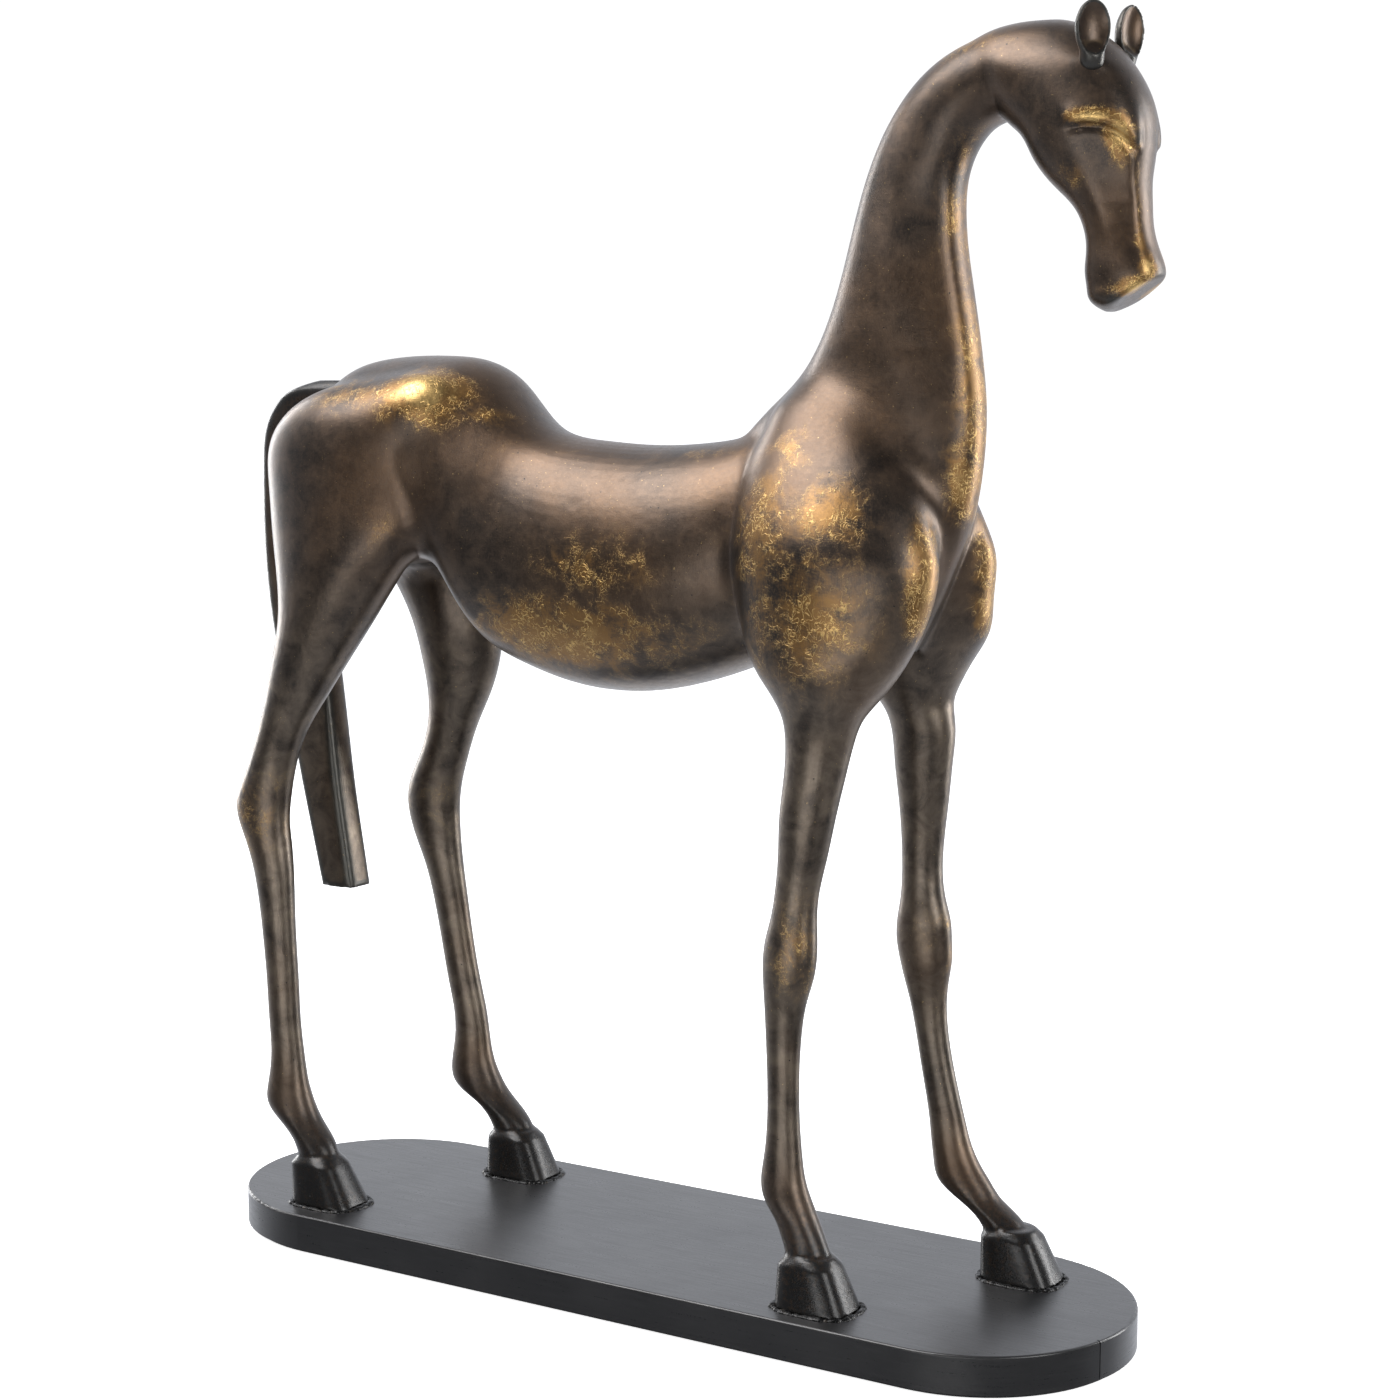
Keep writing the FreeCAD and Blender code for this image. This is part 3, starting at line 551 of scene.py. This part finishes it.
def paint(points, edges, normals):
    """How far each point stands out in mm, and where it is rubbed or carries painted light, thin or
    blackened.
    """
    count = len(points)
    soft = points
    for _ in range(14):
        soft = soft + 0.6 * (averaged(soft, edges, count) - soft)
    bulge = ((points - soft) * normals).sum(axis=1)
    bulge = bulge[:, None]
    for _ in range(3):
        bulge = averaged(bulge, edges, count)
    bulge = bulge[:, 0] / MM
    rub_and_painted_light = np.zeros(count)
    folded = points * np.array([1, 0, 1]) + np.abs(points) * np.array([0, 1, 0])
    for middle, radii, strength in POLISHED_AND_PAINTED_LIGHT_SPOTS.values():
        offsets = folded - np.array(middle)
        rub_and_painted_light = np.maximum(rub_and_painted_light, strength * np.exp(-((offsets / np.array(radii)) ** 2).sum(axis=1)))
    height = points[:, 2]
    shins = gentle_step(height, 0.060, 0.110) * (1 - gentle_step(height, 0.270, 0.380))
    low = 1 - gentle_step(height, 0.036, 0.082)
    return {"edge": bulge, "rub_and_painted_light": rub_and_painted_light, "shins": shins, "black": low}


# --- Building ---------------------------------------------------------------------
def piece(name, points, faces):
    """A new smooth-shaded object from points and faces of any size."""
    mesh = bpy.data.meshes.new(name)
    mesh.from_pydata(points, [], faces)
    mesh.update()
    mesh.shade_smooth()
    obj = bpy.data.objects.new(name, mesh)
    bpy.context.scene.collection.objects.link(obj)
    return obj


def finish_piece(obj, material, slot, *nodes):
    """Gives a piece its material and body, and hides the CAD nodes it stands for; slot is not used."""
    obj.data.materials.clear()
    obj.data.materials.append(material)
    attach(obj, "root")
    if nodes:
        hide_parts(*nodes)


def skin_mesh():
    """The whole sculpted horse as one mesh, painted and cut at its joints."""
    points, faces = model_horse()
    edges = neighbours_of(faces)
    points = relaxed(points, edges, 3)
    normals = point_normals(points, faces)
    mesh = bpy.data.meshes.new("horse_skin")
    mesh.from_pydata(points, [], faces)
    mesh.update()
    for name, values in paint(points, edges, normals).items():
        store(mesh, name, values)
    skin = bmesh.new()
    skin.from_mesh(mesh)
    cut_at_joints(skin)
    skin.to_mesh(mesh)
    skin.free()
    return mesh


def read(collection, name, width, kind=np.float32):
    """One property of every item, as rows of the given width."""
    values = np.empty(len(collection) * width, kind)
    collection.foreach_get(name, values)
    return values.reshape(-1, width) if width > 1 else values


def build_castings(material):
    """One smooth-shaded skin for each casting, taken out of the whole horse."""
    whole = skin_mesh()
    points = read(whole.vertices, "co", 3)
    normals = read(whole.vertex_normals, "vector", 3)
    owners = read(whole.attributes["owner"].data, "value", 1, np.int32)
    corners = read(whole.loops, "vertex_index", 1, np.int32)
    totals = read(whole.polygons, "loop_total", 1, np.int32)
    for number, node in enumerate(CASTINGS):
        own = owners == number
        used, local = np.unique(corners[np.repeat(own, totals)], return_inverse=True)
        mesh = bpy.data.meshes.new(node + "_skin")
        mesh.vertices.add(len(used))
        mesh.vertices.foreach_set("co", points[used].ravel())
        mesh.loops.add(len(local))
        mesh.loops.foreach_set("vertex_index", local.astype(np.int32))
        mesh.polygons.add(int(own.sum()))
        starts = np.concatenate([[0], np.cumsum(totals[own])[:-1]])
        mesh.polygons.foreach_set("loop_start", starts.astype(np.int32))
        mesh.update(calc_edges=True)
        mesh.validate()
        for name in PAINTS:
            store(mesh, name, read(whole.attributes[name].data, "value", 1)[used])
        mesh.shade_smooth()
        mesh.normals_split_custom_set_from_vertices([tuple(n) for n in normals[used]])
        obj = bpy.data.objects.new(node + "_skin", mesh)
        bpy.context.scene.collection.objects.link(obj)
        finish_piece(obj, material, "bronze", node)
    bpy.data.meshes.remove(whole)


def build_small_casting(node, cell, rounds, material, black, roots=()):
    """An ear or the tail: its own field, evened out, with its own paint."""
    low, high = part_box(node)
    edge = 6 * cell
    clay = Field([low[i] - edge for i in range(3)], [high[i] + edge for i in range(3)], cell)
    points, triangles = outer_shell(node)
    clay.block = clay.distances(clay.level_set(points, triangles, 5 * cell))
    for middle, radius in roots:
        cuts, x, y, z = clay.window(low - Vector((edge,) * 3), high + Vector((edge,) * 3))
        ball = np.sqrt((x - middle.x) ** 2 + (y - middle.y) ** 2 + (z - middle.z) ** 2) - radius
        clay.block[cuts] = -soft_larger(-clay.block[cuts], -ball.astype(np.float32), 4 * MM)
    points, faces = clay.skin()
    edges = neighbours_of(faces)
    points = relaxed(points, edges, rounds)
    normals = point_normals(points, faces)
    obj = piece(node + "_skin", points, faces)
    marks = paint(points, edges, normals)
    marks["edge"] = marks["edge"] * 2.2 * CELL / cell
    marks["black"] = black(points)
    for name, values in marks.items():
        store(obj.data, name, values)
    finish_piece(obj, material, "bronze", node)


def weld_bead(leg, material):
    """An uneven bead of weld round the foot of one hoof."""
    node = "hoof_weld_" + leg
    low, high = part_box(node)
    middle = (low + high) / 2
    half_x = (high.x - low.x) / 2 - BEAD_MIDDLE
    half_y = (high.y - low.y) / 2 - BEAD_MIDDLE
    squareness = 2 / 3
    rounds = 160
    profile = 9
    sunk = 0.2 * MM
    points = []
    for i in range(rounds):
        turn = 2 * math.pi * i / rounds
        c, s = math.cos(turn), math.sin(turn)
        x = middle.x + math.copysign(abs(c) ** squareness, c) * half_x
        y = middle.y + math.copysign(abs(s) ** squareness, s) * half_y
        place = Vector((x, y, PLINTH_TOP))
        lump = 0.75 + 0.55 * noise.noise(place * 260) + 0.30 * noise.noise(place * 700)
        lump = max(lump, 0.25)
        away = Vector((c * half_y, s * half_x, 0)).normalized()
        wide = 2.2 * MM * lump
        tall = 1.8 * MM * lump
        for j in range(profile):
            arc = math.pi * j / (profile - 1)
            rise = Vector((0, 0, math.sin(arc) * tall - sunk))
            points.append(place + away * (math.cos(arc) * wide) + rise)
    faces = []
    for i in range(rounds):
        for j in range(profile - 1):
            a = i * profile + j
            b = ((i + 1) % rounds) * profile + j
            faces.append((a, b, b + 1, a + 1))
    bead = piece("weld_bead_" + leg, [tuple(p) for p in points], faces)
    finish_piece(bead, material, "weld", node)


# --- Materials -----------------------------------------------------------------------
class Nodes:
    """Short calls that add and wire shader nodes in one tree."""

    def __init__(self, tree):
        self.tree = tree
        self.nodes = tree.nodes
        self.links = tree.links

    def add(self, kind, inputs=None, **settings):
        """A new node with its settings made and its inputs fed."""
        node = self.nodes.new(kind)
        for name, value in settings.items():
            setattr(node, name, value)
        self.feed(node, inputs or {})
        return node

    def put(self, value, socket):
        """Wires a socket, or sets it to a plain value."""
        if isinstance(value, bpy.types.NodeSocket):
            self.links.new(value, socket)
        else:
            socket.default_value = value

    def feed(self, node, inputs):
        """Wires or sets the inputs that are named."""
        for name, value in inputs.items():
            self.put(value, node.inputs[name])

    def math(self, operation, a, b=0.0, clamp=False):
        node = self.add("ShaderNodeMath", {0: a, 1: b}, operation=operation, use_clamp=clamp)
        return node.outputs[0]

    def mix(self, share, a, b):
        node = self.add("ShaderNodeMix", data_type="RGBA")
        self.feed(node, {0: share, 6: a, 7: b})
        return node.outputs[2]

    def blend(self, value, low, high, to_low=0.0, to_high=1.0):
        """Maps low..high of a value softly to to_low..to_high."""
        inputs = {"Value": value, "From Min": low, "From Max": high, "To Min": to_low, "To Max": to_high}
        node = self.add("ShaderNodeMapRange", inputs, interpolation_type="SMOOTHSTEP")
        return node.outputs[0]

    def noise(self, place, scale, detail=3.0, roughness=0.55, distortion=0.0):
        """Cloudy noise from about 0.3 to 0.7."""
        inputs = {"Scale": scale, "Detail": detail, "Roughness": roughness, "Distortion": distortion}
        inputs["Vector"] = place
        return self.add("ShaderNodeTexNoise", inputs).outputs["Fac"]

    def stretched(self, place, scale):
        """A place scaled by its own amount along each axis."""
        return self.add("ShaderNodeMapping", {"Vector": place, "Scale": scale}).outputs[0]

    def bump(self, height, strength, distance):
        inputs = {"Strength": strength, "Distance": distance, "Height": height}
        return self.add("ShaderNodeBump", inputs).outputs[0]

    def place(self):
        return self.add("ShaderNodeTexCoord").outputs["Object"]

    def attribute(self, name):
        """What was painted on the mesh under a name."""
        return self.add("ShaderNodeAttribute", attribute_name=name).outputs["Fac"]


def group(name, inputs, outputs):
    """An empty shader group with named sockets, and the means to fill it."""
    tree = bpy.data.node_groups.new(name, "ShaderNodeTree")
    for label, kind in inputs:
        tree.interface.new_socket(label, in_out="INPUT", socket_type=kind)
    for label, kind in outputs:
        tree.interface.new_socket(label, in_out="OUTPUT", socket_type=kind)
    work = Nodes(tree)
    start = tree.nodes.new("NodeGroupInput")
    end = tree.nodes.new("NodeGroupOutput")
    return tree, work, start.outputs, end.inputs


FLOAT = "NodeSocketFloat"
VECTOR = "NodeSocketVector"


def brushed_hairs():
    """Fine hair-like strokes left by a wire brush, in two crossing directions."""
    tree, work, given, result = group("brushed_hairs", [("Place", VECTOR)], [("Strokes", FLOAT)])
    place = given["Place"]
    swirl = work.add("ShaderNodeTexNoise", {"Vector": place, "Scale": 22.0, "Detail": 1.0})
    turned = {0: swirl.outputs["Color"], "Scale": 0.02}
    shift = work.add("ShaderNodeVectorMath", turned, operation="SCALE").outputs[0]
    bent = work.add("ShaderNodeVectorMath", {0: place, 1: shift}, operation="ADD").outputs[0]
    first = work.noise(work.stretched(bent, (1900, 1900, 150)), 1.0, 2.0)
    second = work.noise(work.stretched(bent, (210, 1500, 1300)), 1.0, 2.0)
    both = work.math("ADD", first, second)
    work.links.new(work.math("MULTIPLY", both, 0.5), result["Strokes"])
    return tree


def worm_marks():
    """Squiggly ring marks left where the patina chemicals dried in drops."""
    tree, work, given, result = group("worm_marks", [("Place", VECTOR)], [("Lines", FLOAT)])
    place = given["Place"]
    lines = []
    for scale, shift in ((250.0, 0.0), (330.0, 0.37)):
        moved = {"Vector": place, "Location": (shift, shift, shift)}
        moved = work.add("ShaderNodeMapping", moved).outputs[0]
        cloud = work.noise(moved, scale, 1.2, 0.5, 0.9)
        apart = work.math("ABSOLUTE", work.math("SUBTRACT", cloud, 0.5))
        line = work.blend(apart, 0.008, 0.030, 1.0, 0.0)
        broken = work.blend(work.noise(moved, 95, 1), 0.44, 0.56)
        lines.append(work.math("MULTIPLY", line, broken))
    work.links.new(work.math("MAXIMUM", *lines), result["Lines"])
    return tree


def pinholes():
    """Sparse small casting pits."""
    tree, work, given, result = group("pinholes", [("Place", VECTOR)], [("Pits", FLOAT)])
    cells = work.add("ShaderNodeTexVoronoi", {"Vector": given["Place"], "Scale": 260.0})
    dot = work.blend(cells.outputs["Distance"], 0.05, 0.12, 1.0, 0.0)
    chance = work.add("ShaderNodeSeparateColor", {0: cells.outputs["Color"]}).outputs[0]
    rare = work.blend(chance, 0.80, 0.82)
    work.links.new(work.math("MULTIPLY", dot, rare), result["Pits"])
    return tree


def new_material(name):
    """A material with one shader wired to its surface."""
    material = bpy.data.materials.new(name)
    material.use_nodes = True
    tree = material.node_tree
    tree.nodes.clear()
    work = Nodes(tree)
    shader = tree.nodes.new("ShaderNodeBsdfPrincipled")
    end = tree.nodes.new("ShaderNodeOutputMaterial")
    tree.links.new(shader.outputs[0], end.inputs["Surface"])
    return material, work, shader


def use_group(work, tree, place, output):
    """Places a shader group and gives one of its outputs."""
    return work.add("ShaderNodeGroup", {"Place": place}, node_tree=tree).outputs[output]


def bronze_patina(groups):
    """Brown patina in clouds, rubbed through to amber and gold, with some amber and gold as painted
    highlight and painted light, black at the hooves.
    """
    material, work, shader = new_material("bronze_patina")
    place = work.place()
    edge = work.attribute("edge")
    rub_and_painted_light = work.attribute("rub_and_painted_light")
    black = work.attribute("black")
    shins = work.attribute("shins")
    broad = work.noise(place, 14, 2, 0.5)
    cloud = work.noise(place, 75, 5, 0.62, 0.5)
    fine = work.noise(place, 520, 4, 0.65)
    hairs = use_group(work, groups["hairs"], place, "Strokes")
    worms = use_group(work, groups["worms"], place, "Lines")
    pits = use_group(work, groups["pits"], place, "Pits")

    dark = (0.026, 0.018, 0.013, 1)
    brown = (0.100, 0.066, 0.043, 1)
    warm = (0.150, 0.080, 0.035, 1)
    amber = (0.290, 0.150, 0.038, 1)
    gold = (0.74, 0.50, 0.19, 1)
    olive = (0.290, 0.240, 0.180, 1)
    shade = (0.040, 0.043, 0.040, 1)
    soot = (0.0060, 0.0058, 0.0057, 1)

    colour = work.mix(work.blend(cloud, 0.28, 0.74), dark, brown)
    colour = work.mix(work.blend(broad, 0.42, 0.72, 0.0, 0.6), colour, warm)
    colour = work.mix(work.blend(hairs, 0.42, 0.62, 0.0, 0.4), colour, brown)
    thin = work.math("MULTIPLY", shins, work.blend(cloud, 0.25, 0.75, 0.05, 0.50))
    colour = work.mix(thin, colour, olive)
    hollow = work.blend(edge, -0.08, -0.50)
    colour = work.mix(work.math("MULTIPLY", hollow, 0.8), colour, shade)
    patchy = work.blend(cloud, 0.3, 0.7, -0.20, 0.20)
    patchy = work.math("ADD", patchy, work.blend(fine, 0.3, 0.7, -0.03, 0.03))
    patchy = work.math("ADD", patchy, work.blend(hairs, 0.4, 0.6, -0.05, 0.05))
    # The rubbed amount also carries the painted highlights and painted light of the spots.
    wear_and_painted_light = work.math("ADD", rub_and_painted_light, work.math("MULTIPLY", patchy, work.blend(rub_and_painted_light, 0.0, 0.35, 0.35, 1.0)))
    ambered = work.blend(wear_and_painted_light, 0.06, 0.46, 0.0, 0.92)
    colour = work.mix(ambered, colour, amber)
    golden = work.blend(wear_and_painted_light, 0.46, 1.08, 0.0, 0.85)
    ridge = work.blend(edge, 0.26, 0.85, 0.0, 0.7)
    ringed = work.math("MULTIPLY", worms, work.blend(wear_and_painted_light, 0.05, 0.40, 0.0, 0.8))
    golden = work.math("MAXIMUM", golden, ringed)
    golden = work.math("ADD", golden, ridge, clamp=True)
    colour = work.mix(golden, colour, gold)
    speck = work.blend(work.noise(place, 900, 2, 0.5), 0.70, 0.78, 0.0, 0.45)
    colour = work.mix(speck, colour, gold)
    sooted = work.math("MULTIPLY", work.blend(fine, 0.3, 0.7, -0.22, 0.22), work.blend(black, 0.0, 0.3))
    sooted = work.math("ADD", black, sooted, clamp=True)
    colour = work.mix(sooted, colour, soot)
    colour = work.mix(pits, colour, soot)

    rough = work.blend(fine, 0.25, 0.75, 0.33, 0.46)
    rough = work.math("SUBTRACT", rough, work.math("MULTIPLY", golden, 0.06))
    rough = work.math("ADD", rough, work.blend(cloud, 0.3, 0.7, -0.03, 0.03))
    rough = work.math("SUBTRACT", rough, work.math("MULTIPLY", sooted, 0.12), clamp=True)
    metallic = work.math("SUBTRACT", 0.93, work.math("MULTIPLY", sooted, 0.85))
    coat = work.math("SUBTRACT", 0.55, work.math("MULTIPLY", golden, 0.35))
    coat = work.math("SUBTRACT", coat, work.math("MULTIPLY", sooted, 0.48))

    waves = work.noise(place, 48, 2, 0.5)
    height = work.math("MULTIPLY", waves, 0.9)
    height = work.math("ADD", height, work.math("MULTIPLY", hairs, 0.14))
    height = work.math("ADD", height, work.math("MULTIPLY", fine, 0.04))
    height = work.math("ADD", height, work.math("MULTIPLY", ringed, 0.30))
    height = work.math("SUBTRACT", height, work.math("MULTIPLY", pits, 0.25))
    work.feed(shader, {
        "Base Color": colour, "Roughness": rough, "Metallic": metallic,
        "Coat Weight": coat, "Coat Roughness": 0.36, "Coat IOR": 1.6,
        "Normal": work.bump(height, 0.55, 1.1 * MM),
    })
    return material


def black_lacquer(groups, name, along):
    """Satin black sheet metal with faint brush streaks and rubbed spots."""
    material, work, shader = new_material(name)
    black = (0.014, 0.0138, 0.0145, 1)
    dull_black = (0.024, 0.0235, 0.024, 1)
    rubbed = (0.040, 0.038, 0.038, 1)
    place = work.place()
    streaks = work.noise(work.stretched(place, along), 1.0, 4, 0.6)
    cloud = work.noise(place, 20, 3, 0.5)
    fine = work.noise(place, 700, 3, 0.6)
    pits = use_group(work, groups["pits"], place, "Pits")
    colour = work.mix(work.blend(cloud, 0.35, 0.7), black, dull_black)
    colour = work.mix(work.blend(streaks, 0.56, 0.80, 0.0, 0.35), colour, rubbed)
    rough = work.blend(streaks, 0.25, 0.75, 0.27, 0.42)
    rough = work.math("ADD", rough, work.blend(fine, 0.3, 0.7, -0.03, 0.03))
    height = work.math("MULTIPLY", streaks, 0.18)
    height = work.math("ADD", height, work.math("MULTIPLY", cloud, 2.6))
    height = work.math("ADD", height, work.math("MULTIPLY", fine, 0.05))
    height = work.math("SUBTRACT", height, work.math("MULTIPLY", pits, 0.2))
    work.feed(shader, {
        "Base Color": colour, "Roughness": rough, "Metallic": 0.25,
        "Specular IOR Level": 0.55, "Coat Weight": 0.6, "Coat Roughness": 0.34,
        "Normal": work.bump(height, 0.35, 0.9 * MM),
    })
    return material


def weld_metal():
    """Blackened weld with small shiny lumps."""
    material, work, shader = new_material("weld_metal")
    sooty = (0.008, 0.008, 0.008, 1)
    bright = (0.05, 0.042, 0.034, 1)
    place = work.place()
    lumps = work.noise(place, 500, 3, 0.6)
    shine = work.blend(work.noise(place, 180, 2), 0.55, 0.72)
    work.feed(shader, {
        "Base Color": work.mix(shine, sooty, bright),
        "Roughness": work.blend(lumps, 0.3, 0.7, 0.16, 0.34), "Metallic": 0.5,
        "Normal": work.bump(lumps, 0.6, 0.7 * MM),
    })
    return material


def zinc_steel():
    """Zinc-plated studs, pins, washers and nuts."""
    material, work, shader = new_material("zinc_steel")
    blue_grey = (0.42, 0.43, 0.45, 1)
    pale_grey = (0.58, 0.58, 0.56, 1)
    place = work.place()
    bloom = work.noise(place, 300, 3, 0.5)
    threads = work.noise(work.stretched(place, (60, 60, 2200)), 1.0, 1)
    work.feed(shader, {
        "Base Color": work.mix(work.blend(bloom, 0.3, 0.7), blue_grey, pale_grey),
        "Roughness": work.blend(bloom, 0.3, 0.7, 0.28, 0.45), "Metallic": 1.0,
        "Normal": work.bump(threads, 0.3, 0.3 * MM),
    })
    return material


def raw_fibreboard():
    """The plinth's core, seen only from below and at its cut edges."""
    material, work, shader = new_material("raw_fibreboard")
    brown = (0.30, 0.20, 0.12, 1)
    straw = (0.47, 0.34, 0.22, 1)
    fibres = work.noise(work.stretched(work.place(), (500, 500, 1500)), 1.0, 5, 0.7)
    work.feed(shader, {
        "Base Color": work.mix(work.blend(fibres, 0.3, 0.7), brown, straw),
        "Roughness": work.blend(fibres, 0.3, 0.7, 0.75, 0.92),
        "Normal": work.bump(fibres, 0.4, 0.4 * MM),
    })
    return material


def black_felt():
    """Tufted black felt under the plinth."""
    material, work, shader = new_material("black_felt")
    black = (0.012, 0.012, 0.013, 1)
    lint = (0.045, 0.045, 0.047, 1)
    place = work.place()
    fluff = work.noise(place, 1400, 6, 0.75)
    tufts = work.noise(place, 160, 3, 0.6)
    height = work.math("ADD", fluff, work.math("MULTIPLY", tufts, 0.8))
    work.feed(shader, {
        "Base Color": work.mix(work.blend(fluff, 0.3, 0.7), black, lint),
        "Roughness": work.blend(tufts, 0.3, 0.7, 0.88, 1.0), "Sheen Weight": 0.3,
        "Normal": work.bump(height, 0.7, 0.6 * MM),
    })
    return material


def cover(nodes, material):
    """Gives CAD nodes that show as they are their material."""
    for node in nodes:
        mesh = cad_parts[node].data
        mesh.materials.clear()
        mesh.materials.append(material)


# --- Studio --------------------------------------------------------------------------
def look_at(obj, target):
    """Turns a camera or a light towards a target, keeping it upright."""
    direction = obj.location - target
    obj.rotation_euler = direction.to_track_quat("Z", "Y").to_euler()


def place_camera():
    """From the horse's right and a little ahead, slightly above."""
    distance = 1.28185
    around = math.radians(32.21)
    above = math.radians(6.9583)
    low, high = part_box("plinth_skirt")
    target = (low + high) / 2
    target = Vector((target.x + 0.02255, target.y, PLINTH_TOP + 0.2719))
    lens = bpy.data.cameras.new("camera")
    lens.lens = 67.832
    lens.sensor_width = 36.0
    camera = bpy.data.objects.new("camera", lens)
    bpy.context.scene.collection.objects.link(camera)
    level = math.cos(above)
    away = Vector((math.sin(around) * level, -math.cos(around) * level, math.sin(above)))
    camera.location = target + away * distance
    look_at(camera, target)
    bpy.context.scene.camera = camera


WHITE = (1, 1, 1)
# Place, target, width and height, power and colour of each light.
SOFTBOXES = {
    "key_softbox": ((-0.80, -0.95, 1.80), (0, 0, 0.36), (1.5, 1.4), 47, (1.0, 0.985, 0.99)),
    "low_fill": ((0.4, -2.5, -0.1), (0, 0, 0.20), (2.0, 0.6), 13, WHITE),
    "right_fill": ((2.3, -0.9, 0.9), (0, 0, 0.35), (0.9, 1.4), 22, WHITE),
    "right_rear_strip": ((1.35, 1.40, 0.55), (0.1, 0, 0.36), (0.45, 1.5), 18, WHITE),
    "left_rear_strip": ((-1.9, 0.4, 0.7), (0, 0, 0.30), (0.4, 1.4), 14, WHITE),
}


def softbox(name, location, target, size, power, colour):
    """A soft rectangular light that looks at its target."""
    light = bpy.data.lights.new(name, "AREA")
    light.shape = "RECTANGLE"
    light.size, light.size_y = size
    light.energy = power
    light.color = colour
    obj = bpy.data.objects.new(name, light)
    obj.location = location
    look_at(obj, Vector(target))
    bpy.context.scene.collection.objects.link(obj)


def lay_floor():
    """A pale floor that only the camera sees."""
    half = 30.0
    corners = [(-half, -half, 0), (half, -half, 0), (half, half, 0), (-half, half, 0)]
    floor = piece("floor", corners, [(0, 1, 2, 3)])
    material, work, shader = new_material("pale_floor")
    work.feed(shader, {
        "Base Color": (0.93, 0.93, 0.93, 1), "Roughness": 0.9, "Specular IOR Level": 0.1,
        "Emission Color": (1, 1, 1, 1), "Emission Strength": 0.85,
    })
    floor.data.materials.append(material)
    floor.location.z = cad_low[2] - 0.2 * MM
    floor.visible_glossy = False
    floor.visible_diffuse = False


def build_world():
    """White to the camera; to the bronze, bright behind the horse's left side and below."""
    world = bpy.data.worlds.new("studio")
    world.use_nodes = True
    tree = world.node_tree
    tree.nodes.clear()
    work = Nodes(tree)
    direction = work.add("ShaderNodeTexCoord").outputs["Generated"]
    towards_back = {0: direction, 1: (-0.53, 0.84, 0.0)}
    backdrop = work.add("ShaderNodeVectorMath", towards_back, operation="DOT_PRODUCT")
    brightness = work.blend(backdrop.outputs["Value"], -0.35, 0.95, 0.12, 1.0)
    height = work.add("ShaderNodeSeparateXYZ", {"Vector": direction}).outputs["Z"]
    brightness = work.math("ADD", brightness, work.blend(height, -0.20, -0.75, 0.0, 0.45))
    lit = work.add("ShaderNodeBackground", {"Color": (0.90, 0.93, 1.0, 1), "Strength": brightness})
    white = work.add("ShaderNodeBackground", {"Color": (1, 1, 1, 1), "Strength": 1.05})
    path = work.add("ShaderNodeLightPath")
    both = work.add("ShaderNodeMixShader", {0: path.outputs["Is Camera Ray"]})
    tree.links.new(lit.outputs[0], both.inputs[1])
    tree.links.new(white.outputs[0], both.inputs[2])
    end = tree.nodes.new("ShaderNodeOutputWorld")
    tree.links.new(both.outputs[0], end.inputs["Surface"])
    bpy.context.scene.world = world


def build_studio():
    """Floor, soft lights and surroundings, with plain tones."""
    lay_floor()
    for name, (location, target, size, power, colour) in SOFTBOXES.items():
        softbox(name, location, target, size, power, colour)
    build_world()
    bpy.context.scene.view_settings.view_transform = "Standard"


# --- Putting it together ---------------------------------------------------------------
def build_ears(material):
    """Each ear, with a soft swelling that melts its root into the poll."""
    for ear in ("ear_right", "ear_left"):
        low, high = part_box(ear)
        middle = (low + high) / 2
        root = Vector((middle.x - 1.5 * MM, middle.y * 0.86, low.z + 3 * MM))
        roots = [(root, 5.0 * MM)]
        build_small_casting(ear, EAR_CELL, 4, material, lambda points: 0 * points[:, 0], roots)


def build_tail(material):
    """The tail, darker towards its top."""
    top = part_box("tail")[1].z

    def darkness(points):
        return 0.8 * gentle_step(points[:, 2], top - 0.09, top - 0.01)

    build_small_casting("tail", CELL, 3, material, darkness)


place_camera()
build_studio()
groups = {"hairs": brushed_hairs(), "worms": worm_marks(), "pits": pinholes()}
bronze = bronze_patina(groups)
build_castings(bronze)
build_ears(bronze)
build_tail(bronze)
bead_metal = weld_metal()
for leg in LEGS:
    weld_bead(leg, bead_metal)
FASTENERS = [kind + leg for kind in ("hoof_stud_", "washer_", "nut_") for leg in LEGS]
cover(["plinth_top_plate"], black_lacquer(groups, "plate_lacquer", (30, 650, 650)))
cover(["plinth_skirt"], black_lacquer(groups, "skirt_lacquer", (40, 40, 900)))
cover(PINS + FASTENERS, zinc_steel())
cover(["plinth_core_board"], raw_fibreboard())
cover(["felt_underlay"], black_felt())
